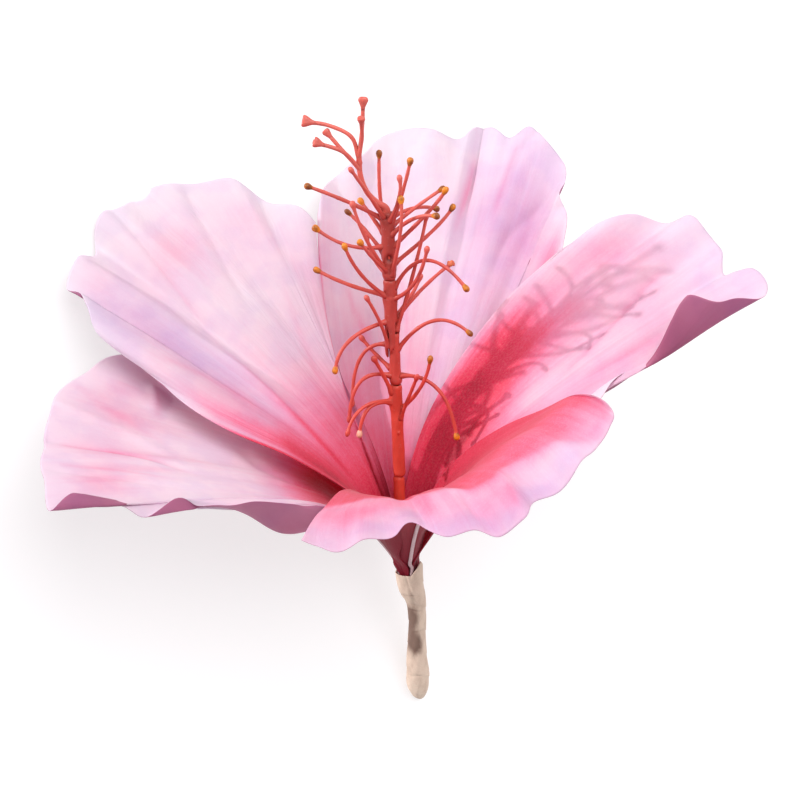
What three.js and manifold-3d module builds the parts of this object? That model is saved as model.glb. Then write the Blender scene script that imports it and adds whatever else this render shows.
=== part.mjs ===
// An artificial hibiscus flower, in millimetres: five pressed fabric petals on covered wires, a moulded
// stamen column with its pistil, and a short stem wrapped in floral tape. It lies as it is put down on a
// table, on the end of its stem and on the rims of its petals.
import * as THREE from 'three';
import Module from 'manifold-3d';
import { mergeGeometries, mergeVertices } from 'three/addons/utils/BufferGeometryUtils.js';

const wasm = await Module();
wasm.setup();

// How the flower lies: first rolled round its own stem, then tipped back from upright
const rollOnStem = -20.55;
const tipBack = 66.5;

// Petals
const petalThickness = 0.7;
const corollaTilt = 18; // degrees that the corolla leans off the column
const corollaHeight = 0.8;
const clawRingRadius = 2.7;
const clawHalfWidth = 1.3;
const clawReach = 0.22; // the share of the petal's length in which it widens from its claw
const rimReach = 0.24; // the share of the petal's length that its waved rim takes
const midribLength = 140; // a little longer than the longest petal
const rowsAlong = 10;
const rowCrowding = 1.25; // rows stand closer together towards the rim
const columnsAcross = 26;

// Each list below is read at these distances from the claw along the petal's middle
const bendStations = [0, 20, 45, 80, 120];

// azimuth: where the petal points; slope: degrees above the corolla's plane at the bend stations;
// hollow: radius of the hollow across the petal there; roll: twist of the blade;
// bulge: how round its left and right sides are; laps: how far each side is lifted over its
// neighbour, or below it where negative; flare: how much of the hollow each side has in the throat;
// rim: points along, across and lifted off the blade, from the left shoulder round to the right;
// pleats: place on the rim from 0 to 1, depth, width as a share of the rim;
// curls: stretches of the margin that curl up over the blade or sag below it, with their place on
// the rim, width, height and shift across, and where along the petal they begin and end to form
const petals = {
  petal_back: {
    azimuth: 80, slope: [70, 64, 38, 28, 24], hollow: [4, 11, 30, 70, 120], roll: 0,
    bulge: [0.7, 0.3], laps: [-2, -1.8], flare: [0.5, 1],
    rim: [
      [82, -33, 0], [91, -32, 0], [96, -29, 0], [101, -25, 0.5], [109, -21, 0], [113, -15, 0],
      [113, -8, 1], [112, -1, -1], [117, 3, 0], [117, 7, 1], [114, 12, -1.5], [116.5, 17, 0],
      [112, 22, 1], [105, 28, 0], [100, 29, 0], [96, 28, 1], [90, 31, 0], [78, 32, 0],
    ],
    pleats: [[0.3, -1.2, 0.05], [0.52, -2.4, 0.035], [0.62, 1.2, 0.04], [0.75, -1.2, 0.04]],
    curls: [],
  },
  petal_right: {
    azimuth: 21, slope: [70, 64, 42, 31, 24], hollow: [4, 11, 30, 70, 110], roll: -8,
    bulge: [0.55, 0.4], laps: [1.6, -1.4], flare: [1, 1],
    rim: [
      [80, -25, 0], [87, -25.5, 0], [92, -25, 0], [100, -22, 0], [105, -17, -1], [111, -13, 1],
      [112, -7, 0], [112, 1, 0], [109, 7, -1.5], [111, 9, 0], [115, 12, 0], [115.5, 19, 0],
      [111, 24, 0], [103, 24.5, 0], [95, 22, 0], [88, 17, 0], [82, 16.5, 0], [78, 16.5, 0],
      [72, 17, 0], [66, 20, 0],
    ],
    pleats: [[0.2, -1, 0.05], [0.36, -1.6, 0.035], [0.52, 1, 0.04], [0.86, -1.2, 0.05]],
    curls: [[0.65, 0.035, 6, -4, 0.7, 1.05], [0.72, 0.045, 10, -6.5, 0.7, 1.05]],
  },
  petal_front: {
    azimuth: -72, slope: [76, 64, 50, 26, -36], hollow: [4, 11, 48, 100, 60], roll: -13.5,
    bulge: [0.93, 0], laps: [1.3, 1.5], flare: [1, 1],
    rim: [
      [77, -35, 0], [81, -36.5, -1], [83, -36.5, -2.5], [87, -33, -3], [88.5, -30, -3.5],
      [90, -25, -4], [92, -20, -5], [92, -10, -5], [97, -6, -4], [95.5, 0.5, -5], [91.5, 5, -3],
      [90.5, 11.5, -4.5], [82, 16.5, -2.5], [85, 22, -4], [85.5, 28, -4], [87, 33, -4],
      [87, 37, -4], [84, 40, -3], [82, 42.5, -1.5],
    ],
    pleats: [[0.25, 1.2, 0.05], [0.48, -1.4, 0.05], [0.7, -1.2, 0.05]],
    curls: [],
  },
  petal_lower_left: {
    azimuth: 195, slope: [66, 52, 28, 20, 14], hollow: [4, 12, 40, 150, 300], roll: -6,
    bulge: [0.2, -0.5], laps: [-0.5, -1.6], flare: [1.1, 1],
    rim: [
      [48, -31, 3], [56, -35, 9.5], [64, -33, 10.5], [69, -28, 3.5], [74, -26.5, 0],
      [80, -27.5, 4], [87, -30, -1], [92, -27, 1], [98, -26.5, 1.5], [104, -29, 5.5],
      [110, -33, -1], [108.5, -18, 0], [107, -8, 0], [104, 1, 0], [102.5, 8, 1], [100, 15, 0],
      [97, 23, 0], [93, 28, 0], [88, 32, 0], [82, 37, 0], [72, 38, 0],
    ],
    pleats: [[0.26, -1.5, 0.03], [0.41, -2, 0.04], [0.55, 1.2, 0.05], [0.72, -1.2, 0.04]],
    curls: [[0.1, 0.085, -7, 0, 0.45, 0.8]],
  },
  petal_upper_left: {
    azimuth: 147, slope: [70, 60, 36, 28, 20], hollow: [4, 12, 40, 120, 200], roll: 14,
    bulge: [1.3, -1.2], laps: [1.4, 0.8], flare: [1, 1],
    rim: [
      [73, -26, 0], [82, -26, 0], [89, -27, 0], [95, -27, 0], [101, -23, 0], [105, -21, 0],
      [108, -22, 0], [112, -13, 0], [110, -9, 0], [115, -3, 0], [116, 1, 0], [114, 5, 0],
      [113, 13, 0], [110, 18, 0], [105, 23, 0], [99, 30, 0], [95, 31, 0], [88, 32, 0],
      [82, 35, 0], [76, 35, 0],
    ],
    pleats: [[0.2, 1.4, 0.05], [0.45, -2, 0.04], [0.7, -1, 0.05]],
    curls: [],
  },
};

// Covered wires along the petals' backs
const wireRadius = 0.45;
const wireReach = 72; // along the petal from its claw
const wireRing = 1.7; // radius of the ring they stand in inside the tape
const wireHeights = [-8.2, -5.5, -3.1]; // where they stand straight inside the tape
const wireSides = 6;
const wireSteps = 18;
const clearance = 0.65; // between a wire and its petal

// Column: the rod's axis leans a little to the left as it rises
const columnFoot = new THREE.Vector3(-0.9, 0, 0);
const columnLean = -0.0385;
const columnSides = 10;
const rodSections = [
  { height: -30, across: 3.2, radius: 0.9 },
  { height: -19, across: 3.1, radius: 0.9 },
  { height: -10.4, across: 2.5, radius: 0.9 },
  { height: -5, across: 1.1, radius: 0.9 },
  { height: 0, across: 0.1, radius: 0.9 },
  { height: 2, across: -0.4, radius: 0.9 },
  { height: 5, across: -1.1, radius: 1.4 },
  { height: 22.6, across: -1.77, radius: 1.4 },
  { height: 22.6, across: -1.77, radius: 0.75 },
  { height: 87.9, across: -4.28, radius: 0.75 },
];

// Stamen sleeves threaded on the rod, each moulded in one with its filaments.
// A filament has its root's height, its azimuth, then how far out and up it bends and ends.
const sleeveBore = 1.1;
const filamentRadius = 0.5;
const filamentSides = 5;
const filamentSteps = 5;
const antherRadius = 1.05;
const sleeves = {
  stamens_low: {
    from: 22.9, to: 46.6, radius: 1.5,
    filaments: [
      [44.5, 215, 3.5, 5, 6.5, 10],
      [42.5, 215, 12, 3, 14.5, -5.5],
      [42, 215, 10, 3.5, 11, -6],
      [40.5, 335, 8, 6, 9, 14],
      [38, 310, 6, 9.5, 7.5, 12.5],
    ],
  },
  stamens_ring: {
    from: 46.9, to: 53.6, radius: 1.3,
    filaments: [
      [50.5, 150, 6, 3, 9.5, 6.5],
      [49, 200, 11.5, 4, 12, -10],
      [49, 345, 13, 2, 15.5, -14.5],
    ],
  },
  stamens_middle: {
    from: 53.9, to: 73.5, radius: 1.5,
    filaments: [
      [69.5, 205, 9, 6, 12, 14],
      [69.5, 165, 11.5, 1.5, 18.5, 5],
      [71.5, 340, 8.5, 15, 19.5, 2],
      [63, 25, 7.5, 7.5, 16, 12.5],
      [69, 320, 9, 3.5, 11.5, 14.5],
      [63.5, 45, 8, 4.5, 10, 8.5],
      [60.5, 350, 6.5, 18, 8.5, 29.5],
      [56.5, 220, 3, 6.5, 8, 14],
      [63, 205, 14, -1.5, 15, -10.5],
      [57, 170, 10, 0.5, 10, -16],
      [55.5, 350, 10, 13.5, 19, 5.5],
    ],
  },
  stamens_top: {
    from: 73.8, to: 90.6, radius: 1.5,
    filaments: [
      [89.5, 225, 9, 10.5, 12, 14],
      [89, 195, 9, 5, 19.5, 9.5],
      [85, 145, 7.5, 6.5, 8, 7],
      [88.5, 130, 3.5, 5, 3, 16],
      [87.5, 335, 5, 11, 6, 16.5],
      [88.5, 300, 7.5, 8, 6, 12],
      [87, 20, 7.5, 4.5, 14, 8],
      [82, 340, 12.5, 11.5, 14.5, 15.5],
      [89, 35, 8.5, 2.5, 14.5, 0],
      [77.5, 10, 13, 9, 15.5, 13.5],
      [85, 320, 7.5, 7, 15, 7.5],
      [75, 295, 8.5, 14, 6.5, 20.5],
      [80, 160, 7, 7, 10.5, 9.5],
      [76.5, 210, 7.5, 8.5, 10, 17.5],
      [82, 185, 10, -1.5, 17.5, 5],
      [75, 130, 7.5, 1.5, 8.5, 8],
      [76, 235, 7, 4.5, 12, 10],
    ],
  },
};

// Pistil: its style curves to the left and forks into five branches that end in grooved pads
const styleFoot = 88.3;
const styleRadius = 0.75;
const styleSides = 7;
const styleSteps = 10;
const branchRadius = 0.55;
const branchSides = 5;
const branchSteps = 6;
const padRadius = 1.5;
const padShape = [1, 0.7, 0.8];
const stylePath = [[-4.6, 0, 91.5], [-6.8, -0.5, 93.2], [-9.2, -1, 96], [-10.7, -1, 100], [-11.1, -1, 106]];
const branches = [
  [[-11.1, -1, 104.5], [-10.3, -1, 111], [-10, -1, 117.8]],
  [[-11.1, -1, 104.5], [-10.2, -2.5, 109], [-10.4, -5, 111.8]],
  [[-11.1, -1, 104.5], [-12.8, -1, 109.5], [-17.9, 0, 112], [-23, 0, 113]],
  [[-10.8, -1, 101.5], [-14.6, -1, 105.4], [-18.6, 0, 108.8]],
  [[-10.8, -1, 101.5], [-14.8, -3, 105], [-20.5, -4, 106.2]],
];

// Stem: floral tape wound round the wires, its centre line and radius from the top down.
// The loose end of the tape stands up at the right, in the gap between two petals.
const stemSections = [
  { height: -3.1, across: 0.9, radius: 3.25 },
  { height: -5, across: 1.1, radius: 3.2 },
  { height: -8.3, across: 1.8, radius: 3.1 },
  { height: -10.4, across: 2.5, radius: 2.55 },
  { height: -14.4, across: 3, radius: 2.25 },
  { height: -19, across: 3.1, radius: 2.15 },
  { height: -24, across: 3, radius: 2.35 },
  { height: -28, across: 3.1, radius: 2.65 },
  { height: -32, across: 3.2, radius: 2.85 },
  { height: -35, across: 3.3, radius: 2.4 },
  { height: -37, across: 3.5, radius: 1.5 },
  { height: -37.8, across: 3.6, radius: 0.7 },
];
const boreSections = [
  { height: -30.3, across: 3.2, radius: 1.25 },
  { height: -19, across: 3.1, radius: 1.25 },
  { height: -11, across: 2.6, radius: 1.25 },
  { height: -8.8, across: 1.9, radius: 2.5 },
  { height: -5, across: 1.1, radius: 2.6 },
  { height: -3.1, across: 0.9, radius: 2.65 },
];
const stemSides = 18;
const tapeEndAzimuth = -25;
const tapeEndWidth = 22;
const tapeEndHeight = 3;
const tapeEndLean = 0.5;

const radians = THREE.MathUtils.degToRad;
const smooth = THREE.MathUtils.smoothstep;
const xAxis = new THREE.Vector3(1, 0, 0);
const zAxis = new THREE.Vector3(0, 0, 1);

function finish(color, roughness) {
  return new THREE.MeshStandardMaterial({ color, roughness, metalness: 0 });
}

const finishes = {
  petal: finish(0xeebcd6, 0.75),
  plastic: finish(0xd0523f, 0.45),
  wire: finish(0xcdaab0, 0.7),
  tape: finish(0xdcc6b4, 0.85),
};

// A smooth curve through values at the bend stations
function alongPetal(values, distance) {
  const last = bendStations.length - 1;
  if (distance <= bendStations[0]) return values[0];
  if (distance >= bendStations[last]) return values[last];
  let i = 0;
  while (distance > bendStations[i + 1]) i += 1;
  const span = bendStations[i + 1] - bendStations[i];
  const grade = (k) => {
    const low = Math.max(0, k - 1);
    const high = Math.min(last, k + 1);
    return (values[high] - values[low]) / (bendStations[high] - bendStations[low]);
  };
  const u = (distance - bendStations[i]) / span;
  const square = u * u;
  const cube = square * u;
  return (2 * cube - 3 * square + 1) * values[i] + (cube - 2 * square + u) * span * grade(i)
    + (3 * square - 2 * cube) * values[i + 1] + (cube - square) * span * grade(i + 1);
}

// The petal's middle line in its own upright plane, a point each millimetre
function midribOf(petal) {
  const line = [];
  let out = clawRingRadius;
  let up = 0;
  for (let distance = 0; distance <= midribLength; distance += 1) {
    line.push([out, up]);
    const slope = radians(alongPetal(petal.slope, distance + 0.5));
    out += Math.cos(slope);
    up += Math.sin(slope);
  }
  return line;
}

// The point of a petal's blade at a distance along it, across it and lifted off it
function bladePoint(petal, along, across, lift, flare) {
  const line = petal.midrib;
  const i = Math.floor(along);
  const part = along - i;
  const out = line[i][0] * (1 - part) + line[i + 1][0] * part;
  const up = line[i][1] * (1 - part) + line[i + 1][1] * part;
  const slope = radians(alongPetal(petal.slope, along));
  const azimuth = radians(petal.azimuth);
  const outward = new THREE.Vector3(Math.cos(azimuth), Math.sin(azimuth), 0);
  const forward = outward.clone().multiplyScalar(Math.cos(slope)).addScaledVector(zAxis, Math.sin(slope));
  const inward = outward.clone().multiplyScalar(-Math.sin(slope)).addScaledVector(zAxis, Math.cos(slope));
  const sideways = new THREE.Vector3(Math.sin(azimuth), -Math.cos(azimuth), 0);
  const turn = radians(petal.roll) * smooth(along, 15, 70);
  inward.applyAxisAngle(forward, -turn);
  sideways.applyAxisAngle(forward, -turn);
  const bend = flare * alongPetal(petal.hollow.map((radius) => 1 / radius), along);
  const angle = across * bend;
  return outward.multiplyScalar(out)
    .addScaledVector(zAxis, up)
    .addScaledVector(sideways, Math.sin(angle) / bend)
    .addScaledVector(inward, (1 - Math.cos(angle)) / bend + lift)
    .applyAxisAngle(xAxis, radians(corollaTilt))
    .addScaledVector(zAxis, corollaHeight);
}

// The petal's middle surface: turn runs from its left side to its right one, reach from claw to rim
function petalSurface(petal, turn, reach) {
  const rim = petal.rimCurve.getPointAt(turn);
  const side = 2 * turn - 1;
  const bulge = (side < 0 ? petal.bulge[0] : petal.bulge[1]) * side * side;
  const claw = clawHalfWidth * side * (1 - reach) ** 4;
  let across = rim.x * reach * (1 + bulge * (1 - reach)) * smooth(reach, 0, clawReach) + claw;
  const wave = smooth(reach, 1 - rimReach, 1.1) / smooth(1, 1 - rimReach, 1.1);
  const lap = (side < 0 ? petal.laps[0] : petal.laps[1])
    * smooth(Math.abs(side), 0.25, 0.75) * smooth(reach, -0.03, 0.05) * (1 - smooth(reach, 0.75, 1));
  let lift = rim.z * wave + lap;
  for (const [place, depth, width] of petal.pleats) {
    lift += depth * Math.exp(-(((turn - place) / width) ** 2)) * smooth(reach, 0.3, 0.75);
  }
  for (const [place, width, height, shift, from, to] of petal.curls) {
    const share = Math.exp(-(((turn - place) / width) ** 2)) * smooth(reach, from, to);
    lift += height * share;
    across += shift * share;
  }
  const flare = THREE.MathUtils.lerp(
    side < 0 ? petal.flare[0] : petal.flare[1],
    1,
    smooth(reach, 0.4, 0.85),
  );
  return bladePoint(petal, rim.y * reach, across, lift, flare);
}

function meshFrom(points, triangles) {
  const geometry = new THREE.BufferGeometry();
  geometry.setAttribute('position', new THREE.Float32BufferAttribute(points.flatMap((p) => p.toArray()), 3));
  geometry.setIndex(triangles.flat());
  return geometry;
}

// A blade with two like faces either side of its middle surface, closed along its edges
function petalGeometry(petal) {
  petal.midrib = midribOf(petal);
  petal.rimCurve = new THREE.CatmullRomCurve3(
    petal.rim.map(([along, across, lift]) => new THREE.Vector3(across, along, lift)),
  );
  const rows = rowsAlong + 1;
  const columns = columnsAcross + 1;
  const middle = [];
  for (let j = 0; j < rows; j += 1) {
    const reach = 1 - (1 - j / rowsAlong) ** rowCrowding;
    for (let i = 0; i < columns; i += 1) {
      middle.push(petalSurface(petal, i / columnsAcross, reach));
    }
  }
  const at = (i, j) => middle[Math.min(Math.max(j, 0), rows - 1) * columns
    + Math.min(Math.max(i, 0), columns - 1)];
  const points = [];
  for (const face of [1, -1]) {
    for (let j = 0; j < rows; j += 1) {
      for (let i = 0; i < columns; i += 1) {
        const over = at(i + 1, j).clone().sub(at(i - 1, j));
        const on = at(i, j + 1).clone().sub(at(i, j - 1));
        const normal = over.cross(on).normalize();
        points.push(at(i, j).clone().addScaledVector(normal, (face * petalThickness) / 2));
      }
    }
  }
  const triangles = [];
  const top = (i, j) => j * columns + i;
  const bottom = (i, j) => columns * rows + j * columns + i;
  for (let j = 0; j < rowsAlong; j += 1) {
    for (let i = 0; i < columnsAcross; i += 1) {
      triangles.push([top(i, j), top(i + 1, j), top(i + 1, j + 1)]);
      triangles.push([top(i, j), top(i + 1, j + 1), top(i, j + 1)]);
      triangles.push([bottom(i, j), bottom(i + 1, j + 1), bottom(i + 1, j)]);
      triangles.push([bottom(i, j), bottom(i, j + 1), bottom(i + 1, j + 1)]);
    }
  }
  const border = [];
  for (let i = 0; i < columnsAcross; i += 1) border.push([i, 0]);
  for (let j = 0; j < rowsAlong; j += 1) border.push([columnsAcross, j]);
  for (let i = columnsAcross; i > 0; i -= 1) border.push([i, rowsAlong]);
  for (let j = rowsAlong; j > 0; j -= 1) border.push([0, j]);
  border.forEach((place, k) => {
    const next = border[(k + 1) % border.length];
    triangles.push([top(...place), bottom(...place), bottom(...next)]);
    triangles.push([top(...place), bottom(...next), top(...next)]);
  });
  return meshFrom(points, triangles);
}

// A round bar along a path
function barAlong(path, radius, sides, steps) {
  const section = new THREE.Shape();
  for (let k = 0; k < sides; k += 1) {
    const angle = (2 * Math.PI * k) / sides;
    const point = [radius * Math.cos(angle), radius * Math.sin(angle)];
    if (k === 0) section.moveTo(...point);
    else section.lineTo(...point);
  }
  section.closePath();
  return weld(new THREE.ExtrudeGeometry(section, { extrudePath: path, steps, bevelEnabled: false }));
}

function weld(geometry) {
  geometry.deleteAttribute('normal');
  geometry.deleteAttribute('uv');
  return mergeVertices(geometry, 1e-4);
}

function solidOf(geometry) {
  return new wasm.Manifold(new wasm.Mesh({
    numProp: 3,
    vertProperties: new Float32Array(geometry.attributes.position.array),
    triVerts: new Uint32Array(geometry.index.array),
  }));
}

function geometryOf(solid) {
  const mesh = solid.getMesh();
  const geometry = new THREE.BufferGeometry();
  geometry.setAttribute('position', new THREE.BufferAttribute(mesh.vertProperties, 3));
  geometry.setIndex(new THREE.BufferAttribute(mesh.triVerts, 1));
  return geometry;
}

function curveThrough(points) {
  return new THREE.CatmullRomCurve3(points);
}

function columnPoint(height) {
  return new THREE.Vector3(columnFoot.x + columnLean * height, columnFoot.y, height);
}

// How far across the stem's centre line lies at a height
function stemCentre(height) {
  let i = 0;
  while (i < stemSections.length - 2 && height < stemSections[i + 1].height) i += 1;
  const [a, b] = [stemSections[i], stemSections[i + 1]];
  return THREE.MathUtils.mapLinear(height, a.height, b.height, a.across, b.across);
}

// A closed body through round sections one above another, or outside and then back inside
function bodyThrough(sections, sides, rise) {
  const points = [];
  sections.forEach(({ height, across, radius }, j) => {
    for (let k = 0; k < sides; k += 1) {
      const angle = (2 * Math.PI * k) / sides;
      const lifted = rise ? rise(j, angle) : 0;
      points.push(new THREE.Vector3(
        across + (radius + lifted * tapeEndLean / tapeEndHeight) * Math.cos(angle),
        (radius + lifted * tapeEndLean / tapeEndHeight) * Math.sin(angle),
        height + lifted,
      ));
    }
  });
  const triangles = [];
  for (let j = 0; j < sections.length - 1; j += 1) {
    for (let k = 0; k < sides; k += 1) {
      const a = j * sides + k;
      const b = j * sides + ((k + 1) % sides);
      triangles.push([a, b, b + sides], [a, b + sides, a + sides]);
    }
  }
  const last = (sections.length - 1) * sides;
  for (let k = 1; k < sides - 1; k += 1) {
    triangles.push([0, k + 1, k]);
    triangles.push([last, last + k, last + k + 1]);
  }
  return meshFrom(points, triangles);
}

// A cylinder along the column's axis
function columnBar(from, to, radius) {
  const bar = new THREE.CylinderGeometry(radius, radius, to - from, columnSides);
  bar.rotateX(Math.PI / 2);
  bar.applyMatrix4(new THREE.Matrix4().set(1, 0, columnLean, 0, 0, 1, 0, 0, 0, 0, 1, 0, 0, 0, 0, 1));
  const place = columnPoint((from + to) / 2);
  bar.translate(place.x, place.y, place.z);
  return solidOf(weld(bar));
}

function filamentPath([height, azimuth, bendOut, bendUp, reach, rise]) {
  const turn = radians(azimuth);
  const place = (out, up) => columnPoint(height)
    .add(new THREE.Vector3(out * Math.cos(turn), out * Math.sin(turn), up));
  return new THREE.QuadraticBezierCurve3(place(1, 0), place(bendOut, bendUp), place(reach, rise));
}

function sleeveGeometry(sleeve) {
  let solid = columnBar(sleeve.from, sleeve.to, sleeve.radius);
  for (const filament of sleeve.filaments) {
    const path = filamentPath(filament);
    const anther = weld(new THREE.IcosahedronGeometry(antherRadius, 0));
    const tip = path.getPoint(1);
    anther.translate(tip.x, tip.y, tip.z);
    solid = solid
      .add(solidOf(barAlong(path, filamentRadius, filamentSides, filamentSteps)))
      .add(solidOf(anther));
  }
  const bore = columnBar(sleeve.from - 1, sleeve.to + 1, sleeveBore);
  return geometryOf(solid.subtract(bore));
}

function pistilGeometry() {
  const toPoints = (list) => list.map((place) => new THREE.Vector3(...place));
  const style = curveThrough([columnPoint(styleFoot), ...toPoints(stylePath)]);
  let solid = solidOf(barAlong(style, styleRadius, styleSides, styleSteps));
  for (const branch of branches) {
    const path = curveThrough(toPoints(branch));
    const pad = weld(new THREE.IcosahedronGeometry(padRadius, 1));
    pad.scale(...padShape);
    const tip = path.getPoint(1);
    pad.translate(tip.x, tip.y, tip.z);
    const bar = barAlong(path, branchRadius, branchSides, branchSteps);
    solid = solid.add(solidOf(bar)).add(solidOf(pad));
  }
  return geometryOf(solid);
}

function tapeGeometry() {
  const sections = [...boreSections, ...stemSections].reverse();
  const rims = [stemSections.length - 1, stemSections.length];
  const rise = (j, angle) => {
    if (!rims.includes(j)) return 0;
    const away = THREE.MathUtils.euclideanModulo(
      THREE.MathUtils.radToDeg(angle) - tapeEndAzimuth + 180,
      360,
    ) - 180;
    return tapeEndHeight * Math.exp(-((away / tapeEndWidth) ** 2));
  };
  return bodyThrough(sections, stemSides, rise);
}

// The point that stands off a petal's back by a distance
function offBack(petal, turn, reach, distance) {
  const step = 0.004;
  const over = petalSurface(petal, turn + step, reach).sub(petalSurface(petal, turn - step, reach));
  const on = petalSurface(petal, turn, reach + step).sub(petalSurface(petal, turn, reach - step));
  return petalSurface(petal, turn, reach).addScaledVector(over.cross(on).normalize(), -distance);
}

// The place on the rim that the petal's middle line runs to
function middleOfRim(petal) {
  const step = 0.005;
  let turn = 0.3;
  while (petal.rimCurve.getPointAt(turn).x < 0) turn += step;
  return turn;
}

function wireGeometry(petal) {
  const azimuth = radians(petal.azimuth);
  const points = wireHeights.map((height) => new THREE.Vector3(
    stemCentre(height) + wireRing * Math.cos(azimuth),
    wireRing * Math.sin(azimuth),
    height,
  ));
  const turn = middleOfRim(petal);
  const length = petal.rimCurve.getPointAt(turn).y;
  for (let along = 0.5; along <= wireReach; along += 5) {
    points.push(offBack(petal, turn, along / length, petalThickness / 2 + clearance + wireRadius));
  }
  return barAlong(curveThrough(points), wireRadius, wireSides, wireSteps);
}

const flower = new THREE.Group();

function add(name, geometry, material) {
  const mesh = new THREE.Mesh(geometry, material);
  mesh.name = name;
  flower.add(mesh);
}

for (const [name, petal] of Object.entries(petals)) {
  add(name, petalGeometry(petal), finishes.petal);
  add(name.replace('petal', 'wire'), wireGeometry(petal), finishes.wire);
}

add('column_rod', bodyThrough(rodSections, columnSides), finishes.plastic);
for (const [name, sleeve] of Object.entries(sleeves)) add(name, sleeveGeometry(sleeve), finishes.plastic);
add('pistil', pistilGeometry(), finishes.plastic);
add('stem_tape', tapeGeometry(), finishes.tape);

// Laid down, then set with the middle of its box over the origin and its lowest point on the table
flower.rotation.set(-radians(tipBack), 0, radians(rollOnStem));
flower.updateMatrixWorld(true);
const box = new THREE.Box3().setFromObject(flower, true);
const middle = box.getCenter(new THREE.Vector3());
flower.position.set(-middle.x, -middle.y, -box.min.z);

const part = new THREE.Group();
part.name = 'hibiscus_flower';
part.add(flower);
part.updateMatrixWorld(true);

export default part;
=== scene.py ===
import math
import random

import bpy
import numpy as np
from mathutils import Matrix, Vector


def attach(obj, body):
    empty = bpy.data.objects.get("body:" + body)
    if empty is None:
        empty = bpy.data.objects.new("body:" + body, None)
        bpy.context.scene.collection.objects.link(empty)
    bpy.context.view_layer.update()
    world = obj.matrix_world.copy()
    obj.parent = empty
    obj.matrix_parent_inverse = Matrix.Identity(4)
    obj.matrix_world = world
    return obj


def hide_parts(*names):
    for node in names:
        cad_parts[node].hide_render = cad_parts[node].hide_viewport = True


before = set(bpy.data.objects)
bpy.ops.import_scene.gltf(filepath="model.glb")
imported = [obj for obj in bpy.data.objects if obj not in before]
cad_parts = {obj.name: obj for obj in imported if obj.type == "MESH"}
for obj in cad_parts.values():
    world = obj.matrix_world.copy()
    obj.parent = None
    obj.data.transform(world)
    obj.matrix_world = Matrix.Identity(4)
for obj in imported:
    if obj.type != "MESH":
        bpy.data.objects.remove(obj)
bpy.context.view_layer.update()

# An artificial hibiscus, laid on its side. Shapes are worked out in millimetres in the flower's own
# frame, with z up along the stamen column, and flowerPlace then lays them down in metres.
print("frame:", len(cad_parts), "nodes")

mm = 0.001
upright = np.array([0, 0, 1.0])
lieDown = {
    "rollOnStem": -20.55,
    "tipBack": 66.5,
    "moved": (11.343, -37.377, 15.065),
}
flowerPlace = (
    Matrix.Translation(Vector(lieDown["moved"]) * mm)
    @ Matrix.Rotation(math.radians(-lieDown["tipBack"]), 4, "X")
    @ Matrix.Rotation(math.radians(lieDown["rollOnStem"]), 4, "Z")
    @ Matrix.Scale(mm, 4)
)


# Small helpers

def smooth(value, low, high):
    share = np.clip((np.asarray(value, float) - low) / (high - low), 0, 1)
    return share * share * (3 - 2 * share)


def bell(distance, width, power=2):  # 1 in the middle, falling to nothing beyond the width
    return np.exp(-np.abs(distance / width)**power)


def unit(rows):
    return rows / np.maximum(np.linalg.norm(rows, axis=-1, keepdims=True), 1e-9)


def anglesRound(sides):
    return np.linspace(0, 2 * np.pi, sides, endpoint=False)


def spokes(angle):  # unit vectors that point away from the column
    return np.stack([np.cos(angle), np.sin(angle), 0 * angle], -1)


def degreesFrom(azimuth, angle):
    return (np.degrees(angle) - azimuth + 180) % 360 - 180


def uneven(angle, height, waves):  # each wave: amount, count round the body, turn per mm, start
    return sum(amount * np.sin(count * angle + turn * height + start) for amount, count, turn, start in waves)


def makePiece(name, points, faces, material, node, numbers=None, uv=None):
    mesh = bpy.data.meshes.new(name)
    place = np.array(flowerPlace)
    laid = points @ place[:3, :3].T + place[:3, 3]
    mesh.from_pydata(laid.tolist(), [], faces)
    for key, values in (numbers or {}).items():
        field = mesh.attributes.new(key, "FLOAT", "POINT")
        field.data.foreach_set("value", np.asarray(values, float).ravel())
    if uv is not None:
        layer = mesh.uv_layers.new(name="spread")
        corners = np.zeros(len(mesh.loops), int)
        mesh.loops.foreach_get("vertex_index", corners)
        layer.data.foreach_set("uv", np.asarray(uv, float)[corners].ravel())
    mesh.polygons.foreach_set("use_smooth", [True] * len(mesh.polygons))
    mesh.materials.append(material)
    mesh.update()
    piece = bpy.data.objects.new(name, mesh)
    bpy.context.scene.collection.objects.link(piece)
    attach(piece, "root")
    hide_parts(node)
    return piece


def paint(code):  # a colour code as the linear colour that the nodes take
    channels = [int(code[i:i + 2], 16) / 255 for i in (1, 3, 5)]
    linear = [c / 12.92 if c <= 0.04045 else ((c + 0.055) / 1.055) ** 2.4 for c in channels]
    return (*linear, 1)


white = paint("#ffffff")


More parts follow.
